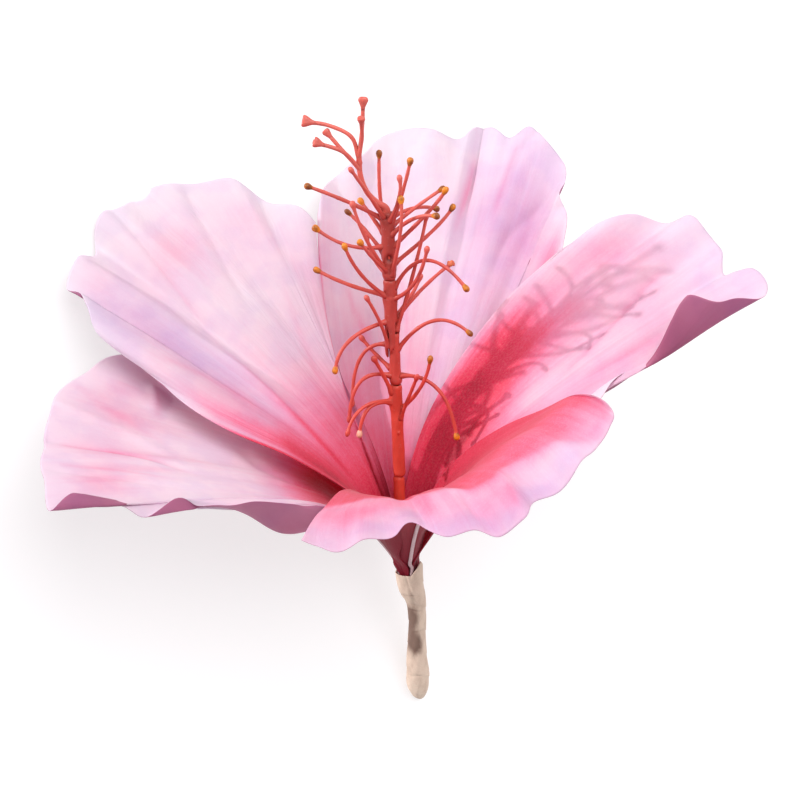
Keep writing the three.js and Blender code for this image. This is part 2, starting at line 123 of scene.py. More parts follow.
class Nodes:
    def __init__(self, name):
        self.material = bpy.data.materials.new(name)
        self.material.use_nodes = True
        self.tree = self.material.node_tree
        self.tree.nodes.clear()

    def add(self, kind, settings=None, sockets=None):
        node = self.tree.nodes.new(kind)
        for key, value in (settings or {}).items():
            setattr(node, key, value)
        for key, value in (sockets or {}).items():
            self.feed(node.inputs[key], value)
        return node

    def feed(self, socket, value):
        if isinstance(value, bpy.types.NodeSocket):
            self.tree.links.new(value, socket)
        else:
            socket.default_value = value

    def number(self, name):
        return self.add("ShaderNodeAttribute", {"attribute_name": name}).outputs["Fac"]

    def combined(self, kind, a, b, clamp=False):
        return self.add("ShaderNodeMath", {"operation": kind, "use_clamp": clamp}, {0: a, 1: b}).outputs[0]

    def plus(self, a, b, clamp=False):
        return self.combined("ADD", a, b, clamp)

    def times(self, a, b, clamp=False):
        return self.combined("MULTIPLY", a, b, clamp)

    def scaled(self, value, factor, offset=0.0):
        return self.add("ShaderNodeMath", {"operation": "MULTIPLY_ADD"},
                        {0: value, 1: factor, 2: offset}).outputs[0]

    def swung(self, value, amount):  # a noise of 0 to 1, made to shift as much down as up
        return self.scaled(value, amount, -amount / 2)

    def between(self, value, low, high, outLow=0.0, outHigh=1.0):
        return self.add("ShaderNodeMapRange", {"interpolation_type": "SMOOTHSTEP"}, {
            "Value": value, "From Min": low, "From Max": high, "To Min": outLow, "To Max": outHigh,
        }).outputs[0]

    def noise(self, where, scale, detail=3.0, rough=0.55, distortion=0.0):
        return self.add("ShaderNodeTexNoise", {"noise_dimensions": "3D"}, {
            "Vector": where, "Scale": scale, "Detail": detail, "Roughness": rough, "Distortion": distortion,
        }).outputs["Fac"]

    def grained(self, x, y, scaleX, scaleY, *looks):  # noise with a scale of its own each way
        where = self.add("ShaderNodeCombineXYZ", None, {0: self.scaled(x, scaleX), 1: self.scaled(y, scaleY)})
        return self.noise(where.outputs[0], 1.0, *looks)

    def threads(self, where, scales, *looks):
        spread = self.add("ShaderNodeVectorMath", {"operation": "MULTIPLY"}, {0: where, 1: scales})
        return self.noise(spread.outputs[0], 1.0, *looks)

    def mixed(self, share, a, b, kind="MIX"):
        node = self.add("ShaderNodeMix", {"data_type": "RGBA", "blend_type": kind})
        self.feed(node.inputs["Factor"], share)
        self.feed(node.inputs[6], a)  # inputs 6 and 7 and output 2 are the node's colour sockets
        self.feed(node.inputs[7], b)
        return node.outputs[2]

    def ramp(self, value, stops):
        node = self.add("ShaderNodeValToRGB", None, {"Fac": value})
        elements = node.color_ramp.elements
        while len(elements) > 1:
            elements.remove(elements[-1])
        elements[0].position, elements[0].color = stops[0][0], paint(stops[0][1])
        for place, code in stops[1:]:
            elements.new(place).color = paint(code)
        return node.outputs["Color"]

    def bump(self, height, strength, distance, under=None):
        sockets = {"Height": height, "Strength": strength, "Distance": distance}
        if under is not None:
            sockets["Normal"] = under
        return self.add("ShaderNodeBump", None, sockets).outputs["Normal"]

    def surface(self, sockets):
        return self.add("ShaderNodeBsdfPrincipled", None, sockets).outputs[0]

    def finish(self, shader):
        self.add("ShaderNodeOutputMaterial", None, {"Surface": shader})
        return self.material


# The camera looks 20 degrees down into the bloom, level with its left and right petals

camera = {
    "downward": 20,
    "distance": 800,
    "aside": -1.25,
    "above": 40,
    "lens": 144,
    "sensor": 36,
    "clip": (0.05, 20),
}


def placeCamera():
    tilt = math.radians(camera["downward"])
    ahead = Vector((0, math.cos(tilt), -math.sin(tilt)))
    above = Vector((0, math.sin(tilt), math.cos(tilt)))
    aside = Vector((1, 0, 0))
    eye = aside * camera["aside"] + above * camera["above"] - ahead * camera["distance"]
    data = bpy.data.cameras.new("camera")
    data.lens = camera["lens"]
    data.sensor_width = camera["sensor"]
    data.clip_start, data.clip_end = camera["clip"]
    holder = bpy.data.objects.new("camera", data)
    bpy.context.scene.collection.objects.link(holder)
    turned = flowerPlace.to_3x3().normalized() @ Matrix((aside, above, -ahead)).transposed()
    holder.matrix_world = Matrix.Translation(flowerPlace @ eye) @ turned.to_4x4()
    bpy.context.scene.camera = holder


placeCamera()
print("camera placed")


# Petal fabric: satin, sprayed crimson from the throat outward

fabric = {
    # from bare cloth to cloth that took all the dye
    "dye": [
        (0.0, "#f8f1f9"), (0.22, "#f9e2f0"), (0.36, "#f8cee2"), (0.48, "#f6b5d1"), (0.59, "#f394b7"),
        (0.69, "#f26e93"), (0.79, "#f04a6d"), (0.9, "#e82f55"), (1.0, "#c41d40"),
    ],
    "lilacAndShade": "#e6dcf6",
    "outer": "#b9688c",  # painted shade: the outer face is made darker and duller
    "soakedAndShaded": "#9a1832",  # darker still where the dye soaked through, partly painted shade
    # patterns round and along the petal: two scales, detail, roughness, distortion
    "streak": (34, 2.6, 3, 0.55, 0.4),
    "fineStreak": (150, 7, 2, 0.5),
    "wrinkle": (16, 7, 3, 0.6, 0.8),
    # patterns on the flat cloth: scale, detail, roughness, distortion
    "cloud": (6, 3, 0.55, 0.5),
    "mottle": (36, 4, 0.65),
    "drift": (13, 3, 0.5),
    # patterns that follow the weave: scales, detail, roughness
    "missed": ((150, 90, 1), 3, 0.7),
    "grain": ((420, 190, 1), 2, 0.6),
    # how much each one shifts the dye
    "streakDye": 0.18,
    "cloudDye": 0.2,
    "mottleDye": 0.07,
    "fineStreakDye": 0.04,
    # over what range something goes from the one share to the other
    "missedDye": (0.5, 0.75, 0.0, 0.07),
    "lilacDrift": (0.4, 0.62, 0.0, 0.25),
    "lilacByDye": (0.45, 0.8, 1.0, 0.0),
    # painted sheen: white flecks along the weave
    "grainSheen": (0.35, 0.75, 0.0, 0.07),
    "outerShadeByDye": (0.35, 0.7, 0.9, 0.2),
    "soakedByDye": (0.6, 0.88, 0.0, 0.85),
    # strength and depth in metres
    "wrinkleBump": (0.3, 0.0008),
    "streakRelief": 0.5,
    "grainBump": (0.09, 0.0001),
    "fineStreakRelief": 0.8,
    "roughness": 0.55,
    "sheenWeight": 0.2,
    "sheenRoughness": 0.4,
    "specular": 0.3,
    "throughShare": 0.42,
    "throughDeeper": 0.2,  # light that comes through is a little deeper in colour
}


def makeFabric():
    n = Nodes("dyed_satin")
    stain, reach, turn = n.number("stain"), n.number("reach"), n.number("turn")
    outside, cool = n.number("outside"), n.number("cool")
    spread = n.add("ShaderNodeUVMap", {"uv_map": "spread"}).outputs[0]
    streak, fineStreak, wrinkle = (n.grained(turn, reach, *fabric[key])
                                   for key in ("streak", "fineStreak", "wrinkle"))
    cloud, mottle, drift = (n.noise(spread, *fabric[key]) for key in ("cloud", "mottle", "drift"))
    missed, grain = (n.threads(spread, *fabric[key]) for key in ("missed", "grain"))
    level = n.plus(stain, n.swung(streak, fabric["streakDye"]))
    level = n.plus(level, n.swung(cloud, fabric["cloudDye"]))
    level = n.plus(level, n.swung(mottle, fabric["mottleDye"]))
    level = n.plus(level, n.swung(fineStreak, fabric["fineStreakDye"]), clamp=True)
    dry = n.between(missed, *fabric["missedDye"])
    level = n.combined("SUBTRACT", level, n.times(dry, level))
    color = n.ramp(level, fabric["dye"])
    # the lavender tint, partly the cloth's own and partly painted shade on folds turned from the light and on
    # the hanging rim
    cooler = n.plus(cool, n.between(drift, *fabric["lilacDrift"]))
    cooler = n.times(cooler, n.between(level, *fabric["lilacByDye"]), clamp=True)
    color = n.mixed(cooler, color, paint(fabric["lilacAndShade"]), "MULTIPLY")
    # painted sheen: white flecks along the satin's weave
    color = n.mixed(n.between(grain, *fabric["grainSheen"]), color, white)
    # painted shade on the outer face, less where the dye is strong
    outerShade = n.times(outside, n.between(level, *fabric["outerShadeByDye"]))
    color = n.mixed(outerShade, color, paint(fabric["outer"]), "MULTIPLY")
    # the dye that soaked through to the outer face, made darker as painted shade
    soakedAndShaded = n.times(outside, n.between(level, *fabric["soakedByDye"]))
    color = n.mixed(soakedAndShaded, color, paint(fabric["soakedAndShaded"]))
    folds = n.plus(wrinkle, n.scaled(streak, fabric["streakRelief"]))
    weave = n.plus(grain, n.scaled(fineStreak, fabric["fineStreakRelief"]))
    normal = n.bump(folds, *fabric["wrinkleBump"])
    normal = n.bump(weave, *fabric["grainBump"], normal)
    satin = n.surface({
        "Base Color": color, "Roughness": fabric["roughness"], "Normal": normal,
        "Sheen Weight": fabric["sheenWeight"], "Sheen Roughness": fabric["sheenRoughness"],
        "Specular IOR Level": fabric["specular"],
    })
    through = n.add("ShaderNodeBsdfTranslucent", None, {
        "Color": n.mixed(fabric["throughDeeper"], color, color, "MULTIPLY"), "Normal": normal,
    }).outputs[0]
    both = n.add("ShaderNodeMixShader", None, {0: fabric["throughShare"], 1: satin, 2: through}).outputs[0]
    return n.finish(both)


petalFabric = makeFabric()


# The stem's outline, followed by its tape, the wires and the feet of the petals

tape = {
    "outlineSteps": 14,
    # height, across and radius of the stem, from its folded end up
    "outline": [
        (-38.1, 3.9, 0.15), (-37.9, 3.8, 0.8), (-37.2, 3.6, 1.5), (-35.6, 3.4, 2.2), (-33.5, 3.25, 2.7),
        (-31, 3.2, 2.8), (-28, 3.1, 2.62), (-24, 3, 2.35), (-19, 3.1, 2.12), (-14.4, 3, 2.2),
        (-11.5, 2.75, 2.4), (-9.8, 2.3, 2.75), (-8.3, 1.8, 3.1), (-5, 1.1, 3.2), (-3.1, 0.9, 3.25),
    ],
    # azimuth and height of the loose end's edge, which stands up at the right
    "looseEnd": [(-180, 0), (-80, 0), (-34, 3.6), (-14, 2.4), (12, 1.4), (45, 0), (180, 0)],
    "looseRise": (-8, -3.1),
    "looseLean": 0.12,
    "wall": 0.3,
    "wallBelow": (0.35, 3.1, 9),  # how much thicker the wall gets, and between what depths
    "mouthShare": 0.72,  # the share of the outline below the hollow mouth
    "sides": 96,
    "pitch": 6.4,
    "wrapStep": 0.16,  # the winding edge: its height, width and fade over one turn
    "wrapEdge": 0.04,
    "wrapFade": 0.7,
    "wrapFrom": (-37.5, -35),
    "waves": [(0.05, 3, 0.35, 0), (0.03, 7, -0.9, 0)],
    "foldedEnd": (0.05, 31, 36),  # how much the folded end is pressed flat, and where that begins
    "creases": [  # height, azimuth, tilt, depth, half length in degrees
        (-8.5, -115, 0.004, 0.1, 60), (-12.9, -80, -0.006, 0.1, 80), (-18.4, -70, 0.008, 0.06, 50),
        (-22.6, -100, -0.01, 0.06, 40), (-30.6, -75, 0.003, 0.12, 90), (-33.4, -110, -0.012, 0.08, 40),
        (-35.4, -60, 0.02, 0.12, 40), (-36.4, -100, -0.015, 0.12, 40), (-6.4, -60, -0.02, 0.08, 40),
    ],
    "creaseWidth": 0.22,
    # painted shade along each crease
    "creaseShade": 0.18,
    "seam": {"azimuth": -95, "slant": 2.2, "at": -6, "width": 5, "depth": 0.2, "from": (-13, -8)},
    "patches": [  # darker brown patches: height, half height, azimuth, half width, amount
        (-21.8, 3.2, -98, 40, 1.25), (-14.8, 2.6, -112, 36, 1.0), (-17.5, 7, -155, 34, 1.1),
        (-9, 3, -96, 20, 0.4),
    ],
    # painted shade inside the hollow mouth
    "mouthShade": 0.7,
    "cream": "#d9c2b0",
    "shade": "#a07e6c",
    "crepeLight": "#f3e6da",
    "soilAndShade": "#5e4036",
    "soilRaggedness": 0.6,
    # over what range something goes from the one share to the other
    "blotchShade": (0.35, 0.75, 0.0, 0.4),
    "crepeShows": (0.3, 0.7, 0.0, 0.16),
    "soilShows": (0.1, 1.0, 0.0, 0.85),
    "roughness": 0.78,
    "specular": 0.25,
    "sheenWeight": 0.08,
    # patterns round and along the stem: two scales, detail, roughness
    "crepe": (14, 2.6, 3, 0.6),
    "blotch": (1.2, 0.22, 4, 0.6),
    "fibre": (30, 14, 3, 0.65),
    "relief": (0.7, 0.3),  # of the crepe and the fibre
    "bump": (0.5, 0.0003),
}


def stemCentre(height):
    outline = np.array(tape["outline"])
    return np.interp(height, outline[:, 0], outline[:, 1])


# Petals: each a long spoon-shaped blade, bent and hollowed along its length. A place on one is its
# turn, from 0 at the rim's first point to 1 at its last, and its reach, from 0 at the claw to 1 at the rim.

blade = {
    "thickness": 0.34,
    "rimSteps": 16,
    "corollaTilt": 18,
    "corollaHeight": 0.8,
    "clawRing": 2.7,
    "clawHalfWidth": 4.0,
    "clawFade": 3.2,
    "widens": (-0.03, 0.18),  # this pair and those below it are in reach
    "lapFrom": (0.0, 0.17),
    "lapTo": (0.75, 1),
    "flareTo": (0.4, 0.85),
    "pleatFrom": (0.3, 0.75),
    "lapSides": (0.25, 0.75),  # from the midrib to a side
    "rollOver": (15, 70),  # along the petal
    "rimReach": 0.24,
    "waveTo": 1.1,
    "thinRim": 0.975,
    "thinSide": 0.985,
    "thinBy": 0.6,
    "clothSpan": 120,
    "rows": 64,
    "columns": 180,
    "crowding": 1.25,
    "longest": 140,
    "stations": [0, 20, 45, 80, 120],
}

claw = {
    "foot": -6.5,
    "ring": 1.5,
    "bow": 0.75,
    "spread": 60,
    "leaves": 2.4,
    "arrives": 2.6,
    "rows": 12,
    "below": -0.08,  # the reach at its foot
}

# azimuth and roll in degrees; slope, and radius of the hollow, at each of the blade's stations
# bulge, laps and flare: one for the side where the turn is under a half, one for the other
# rim: along, across, lift
# pleats: turn, depth, width
# curls: turn, width, height, aside, and the reach where they begin and end
# dye: from claw to rim; banks, where the dye stops: drop, softness, line of turn and reach
# sprays and the lavender tint: turn, reach, half width, half height, amount. Some sprays are painted shadow,
# and the tint is partly the cloth's own lavender and partly painted shade.
# strokes of the brush and creases: amount or height, width, line of turn and reach. Strokes that run along a
# crease or fold are painted shade there.
petals = {
    "petal_back": {
        "azimuth": 80, "slope": [70, 64, 38, 28, 24], "hollow": [4, 11, 30, 70, 120], "roll": 0,
        "bulge": [0.7, 0.3], "laps": [-2, -1.8], "flare": [0.5, 1],
        "rim": [
            (82, -33, 0), (91, -32, 0), (96, -29, 0), (101, -25, 0.5), (109, -21, 0), (113, -15, 0),
            (113, -8, 1), (112, -1, -1), (117, 3, 0), (117, 7, 1), (114, 12, -1.5), (116.5, 17, 0),
            (112, 22, 1), (105, 28, 0), (100, 29, 0), (96, 28, 1), (90, 31, 0), (78, 32, 0),
        ],
        "pleats": [(0.3, -1.2, 0.05), (0.52, -2.4, 0.035), (0.62, 1.2, 0.04), (0.75, -1.2, 0.04)],
        "curls": [],
        "dye": [0.96, 0.72, 0.5, 0.32, 0.2, 0.16, 0.04],
        "banks": [],
        "spraysAndShade": [
            (0.1, 0.46, 0.14, 0.16, 0.14), (0.64, 0.24, 0.12, 0.18, -0.42), (0.03, 0.85, 0.08, 0.14, 0.16),
            # the narrow spray at turn 0.5 and reach 0.86 is painted shade along the middle fold
            (0.0, 0.7, 0.012, 0.3, 0.35), (0.95, 0.88, 0.08, 0.12, 0.45), (0.5, 0.86, 0.016, 0.1, 0.12),
            (0.74, 0.8, 0.16, 0.2, 0.24),
        ],
        "strokesAndFoldShade": [
            # the first two strokes are painted shade along the fold in the middle and the one just right of
            # it
            (0.2, 0.9, [(0.505, 0.94), (0.5, 0.84), (0.485, 0.7)]),
            (0.14, 1.2, [(0.61, 0.95), (0.6, 0.75)]),
            (0.14, 1.0, [(0.1, 0.75), (0.16, 0.55), (0.25, 0.35)]), (0.12, 1.0, [(0.3, 0.7), (0.36, 0.45)]),
        ],
        "lilacAndShade": [(0.68, 0.8, 0.16, 0.22, 0.8), (0.56, 0.45, 0.1, 0.2, 0.4)],
        "creases": [
            (-1.3, 1.3, [(0.505, 1.0), (0.505, 0.93), (0.503, 0.844), (0.485, 0.72)]),
            (-0.8, 1.5, [(0.65, 1.0), (0.61, 0.872), (0.608, 0.72)]),
            (-0.8, 1.6, [(0.79, 0.98), (0.72, 0.82), (0.682, 0.748), (0.662, 0.57)]),
            (-0.6, 1.3, [(0.87, 0.99), (0.79, 0.88), (0.725, 0.76)]),
            (0.5, 1.5, [(0.3, 0.95), (0.34, 0.75), (0.38, 0.5)]),
        ],
    },
    "petal_right": {
        "azimuth": 21, "slope": [70, 64, 42, 31, 24], "hollow": [4, 11, 30, 70, 110], "roll": -8,
        "bulge": [0.55, 0.4], "laps": [1.6, -1.4], "flare": [1, 1],
        "rim": [
            (80, -25, 0), (87, -25.5, 0), (92, -25, 0), (100, -22, 0), (105, -17, -1), (111, -13, 1),
            (112, -7, 0), (112, 1, 0), (109, 7, -1.5), (111, 9, 0), (115, 12, 0), (115.5, 19, 0),
            (111, 24, 0), (103, 24.5, 0), (95, 22, 0), (88, 17, 0), (82, 16.5, 0), (78, 16.5, 0),
            (72, 17, 0), (66, 20, 0),
        ],
        "pleats": [(0.2, -1, 0.05), (0.36, -1.6, 0.035), (0.52, 1, 0.04), (0.86, -1.2, 0.05)],
        "curls": [(0.66, 0.042, 6, -4, 0.8, 1.04), (0.73, 0.038, 10.5, -7.5, 0.81, 1.04),
                  (0.84, 0.06, -2.5, -0.5, 0.45, 0.85)],
        "dye": [0.96, 0.9, 0.76, 0.48, 0.4, 0.34, 0.16],
        "banks": [],
        "spraysAndShade": [
            # the first spray deepens the crimson where the column's shadow falls, partly dye and partly
            # painted shadow; the next two are painted shadow of the pistil's pads
            (0.18, 0.52, 0.14, 0.2, 0.42), (0.2, 0.88, 0.11, 0.06, 0.14), (0.12, 0.74, 0.09, 0.1, 0.02),
            (0.44, 0.5, 0.1, 0.14, -0.14), (0.75, 0.85, 0.06, 0.12, 0.12),
        ],
        "strokesAndFoldShade": [
            # the first two strokes are painted shade along the first two creases
            (0.1, 1.0, [(0.465, 0.5), (0.395, 0.68), (0.348, 0.808), (0.333, 0.95)]),
            (0.12, 1.2, [(0.54, 0.56), (0.552, 0.688), (0.545, 0.82)]), (0.2, 1.6, [(0.3, 0.2), (0.32, 0.4)]),
        ],
        "lilacAndShade": [(0.48, 0.95, 0.2, 0.08, 0.4), (0.62, 0.6, 0.1, 0.15, 0.35)],
        "creases": [
            (-0.5, 1.0, [(0.465, 0.5), (0.395, 0.68), (0.348, 0.808), (0.333, 0.95)]),
            (-0.6, 1.4, [(0.54, 0.56), (0.552, 0.688), (0.545, 0.82)]),
            (-0.4, 1.2, [(0.6, 0.6), (0.61, 0.75)]),
            (0.4, 1.5, [(0.2, 0.5), (0.22, 0.75), (0.2, 0.9)]),
        ],
    },
    "petal_front": {
        "azimuth": -72, "slope": [76, 64, 50, 26, -36], "hollow": [4, 11, 48, 100, 60], "roll": -13.5,
        "bulge": [0.93, 0], "laps": [1.3, 1.5], "flare": [1, 1],
        "rim": [
            (77, -35, 0), (81, -36.5, -1), (83, -36.5, -2.5), (87, -33, -3), (88.5, -30, -3.5),
            (90, -25, -4), (92, -20, -5), (92, -10, -5), (97, -6, -4), (95.5, 0.5, -5), (91.5, 5, -3),
            (90.5, 11.5, -4.5), (82, 16.5, -2.5), (85, 22, -4), (85.5, 28, -4), (87, 33, -4),
            (87, 37, -4), (84, 40, -3), (82, 42.5, -1.5),
        ],
        "pleats": [(0.25, 1.2, 0.05), (0.48, -1.4, 0.05), (0.7, -1.2, 0.05)],
        "curls": [(0.87, 0.06, 2.2, 0, 0.8, 1)],
        "dye": [0.98, 0.94, 0.9, 0.84, 0.78, 0.72, 0.54],
        "strokesAndFoldShade": [(0.12, 1.4, [(0.62, 0.7), (0.64, 0.97)]), (0.1, 1.4, [(0.4, 0.87), (0.42, 0.98)])],
        "banks": [(0.24, 0.035, [
            (0.16, 0.99), (0.25, 0.9), (0.3, 0.865), (0.41, 0.84), (0.48, 0.815), (0.6, 0.7), (0.72, 0.64),
            (0.86, 0.6), (1.0, 0.7),
        ])],
        "spraysAndShade": [
            (0.12, 0.88, 0.09, 0.1, -0.04), (0.85, 0.82, 0.14, 0.08, 0.12), (0.45, 0.9, 0.12, 0.06, 0.08),
            (0.22, 0.95, 0.1, 0.05, -0.12),
        ],
        # painted shade on the hanging rim
        "lilacAndShade": [(0.75, 0.95, 0.3, 0.09, 0.5), (0.35, 0.97, 0.25, 0.05, 0.6)],
        "creases": [
            (0.8, 2.4, [
                (0.165, 0.99), (0.25, 0.9), (0.3, 0.865), (0.41, 0.84), (0.48, 0.815), (0.6, 0.8),
                (0.72, 0.76), (0.86, 0.73), (0.95, 0.75),
            ]),
            (-0.6, 1.3, [(0.52, 0.8), (0.53, 0.97)]), (-0.5, 1.2, [(0.68, 0.8), (0.7, 0.98)]),
        ],
    },
    "petal_lower_left": {
        "azimuth": 195, "slope": [66, 52, 28, 20, 14], "hollow": [4, 12, 40, 150, 300], "roll": -6,
        "bulge": [0.2, -0.5], "laps": [-0.5, -1.6], "flare": [1.1, 1],
        "rim": [
            (48, -31, 3), (56, -35, 9.5), (64, -33, 10.5), (69, -28, 3.5), (74, -26.5, 0),
            (80, -27.5, 4), (87, -30, -1), (92, -27, 1), (98, -26.5, 1.5), (104, -29, 5.5),
            (110, -33, -1), (108.5, -18, 0), (107, -8, 0), (104, 1, 0), (102.5, 8, 1), (100, 15, 0),
            (97, 23, 0), (93, 28, 0), (88, 32, 0), (82, 37, 0), (72, 38, 0),
        ],
        "pleats": [(0.26, -1.5, 0.03), (0.41, -2, 0.04), (0.55, 1.2, 0.05), (0.72, -1.2, 0.04)],
        "curls": [(0.1, 0.085, -7, 0, 0.45, 0.8)],
        "dye": [0.98, 0.92, 0.82, 0.24, 0.16, 0.24, 0.14],
        "banks": [],
        "spraysAndShade": [
            (0.81, 0.84, 0.035, 0.14, 0.17), (0.69, 0.8, 0.025, 0.18, 0.22), (0.56, 0.88, 0.045, 0.07, 0.22),
            (0.88, 0.9, 0.03, 0.05, 0.16), (0.62, 0.74, 0.02, 0.12, 0.14),
            (0.9, 0.6, 0.08, 0.2, 0.1), (0.1, 0.5, 0.1, 0.2, 0.3),
        ],
        "strokesAndFoldShade": [
            # the second and fourth strokes are painted shade along creases
            (0.07, 1.6, [(0.86, 0.98), (0.81, 0.84), (0.74, 0.7), (0.64, 0.56)]),
            (0.14, 1.0, [(0.7, 0.95), (0.67, 0.748), (0.59, 0.604)]),
            (0.12, 1.0, [(0.62, 0.95), (0.6, 0.8), (0.55, 0.66)]), (0.14, 1.2, [(0.93, 0.84), (0.83, 0.74)]),
        ],
        "lilacAndShade": [(0.5, 0.97, 0.25, 0.05, 0.2)],
        "creases": [
            (-0.6, 1.2, [(0.71, 0.99), (0.67, 0.748), (0.59, 0.604)]),
            (0.8, 1.0, [(0.93, 0.86), (0.912, 0.828), (0.83, 0.752)]),
            (-0.6, 1.6, [(0.84, 0.56), (0.667, 0.396), (0.647, 0.28)]),
            (-0.4, 1.3, [(0.6, 0.97), (0.55, 0.78), (0.5, 0.6)]),
            (0.4, 1.4, [(0.8, 0.98), (0.76, 0.8), (0.68, 0.62)]),
        ],
    },
    "petal_upper_left": {
        "azimuth": 147, "slope": [70, 60, 36, 28, 20], "hollow": [4, 12, 40, 120, 200], "roll": 14,
        "bulge": [1.3, -1.2], "laps": [1.4, 0.8], "flare": [1, 0.72],
        "rim": [
            (73, -26, 0), (82, -26, 0), (89, -27, 0), (95, -27, 0), (101, -23, 0), (105, -21, 0),
            (108, -22, 0), (112, -13, 0), (110, -9, 0), (115, -3, 0), (116, 1, 0), (114, 5, 0),
            (113, 13, 0), (110, 18, 0), (105, 23, 0), (99, 30, 0), (95, 31, 0), (88, 32, 0),
            (82, 35, 0), (76, 35, 0),
        ],
        "pleats": [(0.2, 1.4, 0.05), (0.45, -2, 0.04), (0.7, -1, 0.05)],
        "curls": [],
        "dye": [0.98, 0.86, 0.64, 0.32, 0.18, 0.2, 0.02],
        "banks": [],
        "spraysAndShade": [
            (0.1, 0.44, 0.15, 0.2, 0.42), (0.1, 0.68, 0.11, 0.13, 0.26), (1.0, 0.6, 0.014, 0.3, 0.35),
            (0.58, 0.86, 0.07, 0.07, 0.16), (0.79, 0.9, 0.06, 0.06, 0.16), (0.35, 0.93, 0.06, 0.05, 0.16),
            (0.0, 0.62, 0.018, 0.2, 0.45), (0.66, 0.62, 0.12, 0.14, -0.1), (0.3, 0.75, 0.06, 0.16, 0.14),
            (0.95, 0.75, 0.06, 0.2, 0.14),
        ],
        "strokesAndFoldShade": [
            # the first two strokes are painted shade along a fold and a crease
            (0.13, 0.9, [(0.43, 0.7), (0.4, 0.52), (0.372, 0.396), (0.37, 0.252), (0.45, 0.16)]),
            (0.09, 0.8, [(0.52, 0.88), (0.48, 0.728), (0.413, 0.62)]),
            (0.12, 1.2, [(0.2, 0.85), (0.27, 0.6), (0.28, 0.4)]),
            (0.1, 1.0, [(0.8, 0.75), (0.72, 0.55), (0.62, 0.38)]),
        ],
        # the first is painted shade on the part below the fold
        "lilacAndShade": [(0.33, 0.7, 0.07, 0.2, 0.8), (0.22, 0.93, 0.08, 0.08, 0.5), (0.9, 0.6, 0.1, 0.2, 0.2)],
        "creases": [
            (-0.9, 1.4, [(0.54, 1.0), (0.52, 0.868), (0.48, 0.728), (0.413, 0.62)]),
            (-0.8, 1.3, [(0.403, 0.98), (0.427, 0.792), (0.42, 0.632)]),
            (0.9, 2.2, [(0.42, 0.66), (0.39, 0.508), (0.372, 0.396), (0.37, 0.25)]),
            (0.6, 1.4, [(0.3, 0.98), (0.36, 0.8), (0.4, 0.6), (0.348, 0.388), (0.258, 0.32)]),
            (-0.5, 1.5, [(0.7, 0.97), (0.66, 0.8), (0.6, 0.6)]),
        ],
    },
}


def alongPetal(values, distance):  # a smooth curve through the values at the blade's stations
    stations, values = np.array(blade["stations"], float), np.array(values, float)
    index = np.arange(len(stations))
    low, high = np.maximum(index - 1, 0), np.minimum(index + 1, len(stations) - 1)
    grade = (values[high] - values[low]) / (stations[high] - stations[low])
    distance = np.clip(distance, stations[0], stations[-1])
    i = np.clip(np.searchsorted(stations, distance, side="left") - 1, 0, len(stations) - 2)
    span = stations[i + 1] - stations[i]
    u = (distance - stations[i]) / span
    return ((2 * u**3 - 3 * u**2 + 1) * values[i] + (u**3 - 2 * u**2 + u) * span * grade[i]
            + (3 * u**2 - 2 * u**3) * values[i + 1] + (u**3 - u**2) * span * grade[i + 1])


def smoothLine(points, steps):  # a curve through the points that doesn't overshoot close ones
    points = np.array(points, float)
    padded = np.vstack([2 * points[0] - points[1], points, 2 * points[-1] - points[-2]])
    result = []
    for k in range(len(points) - 1):
        a, b, c, d = padded[k:k + 4]
        gaps = [np.linalg.norm(q - p) ** 0.5 for p, q in ((a, b), (b, c), (c, d))]
        into = (b - a) / gaps[0] - (c - a) / (gaps[0] + gaps[1]) + (c - b) / gaps[1]
        outOf = (c - b) / gaps[1] - (d - b) / (gaps[1] + gaps[2]) + (d - c) / gaps[2]
        into, outOf = into * gaps[1], outOf * gaps[1]
        t = np.linspace(0, 1, steps, endpoint=k == len(points) - 2)[:, None]
        square = 3 * (c - b) - 2 * into - outOf
        cube = 2 * (b - c) + into + outOf
        result.append(b + into * t + square * t**2 + cube * t**3)
    return np.vstack(result)


def lengthsOf(line):
    return np.concatenate([[0], np.cumsum(np.linalg.norm(np.diff(line, axis=0), axis=1))])


def atLengths(line, places):
    lengths = lengthsOf(line)
    result = np.stack([np.interp(places, lengths, line[:, k]) for k in range(3)], axis=-1)
    beyond = np.maximum(places - lengths[-1], 0)[..., None]
    return result + beyond * unit(line[-1] - line[-2])


def turnedAbout(rows, axis, angle):
    cosine, sine = np.cos(angle)[..., None], np.sin(angle)[..., None]
    along = axis * np.sum(axis * rows, -1, keepdims=True)
    return rows * cosine + np.cross(axis, rows) * sine + along * (1 - cosine)


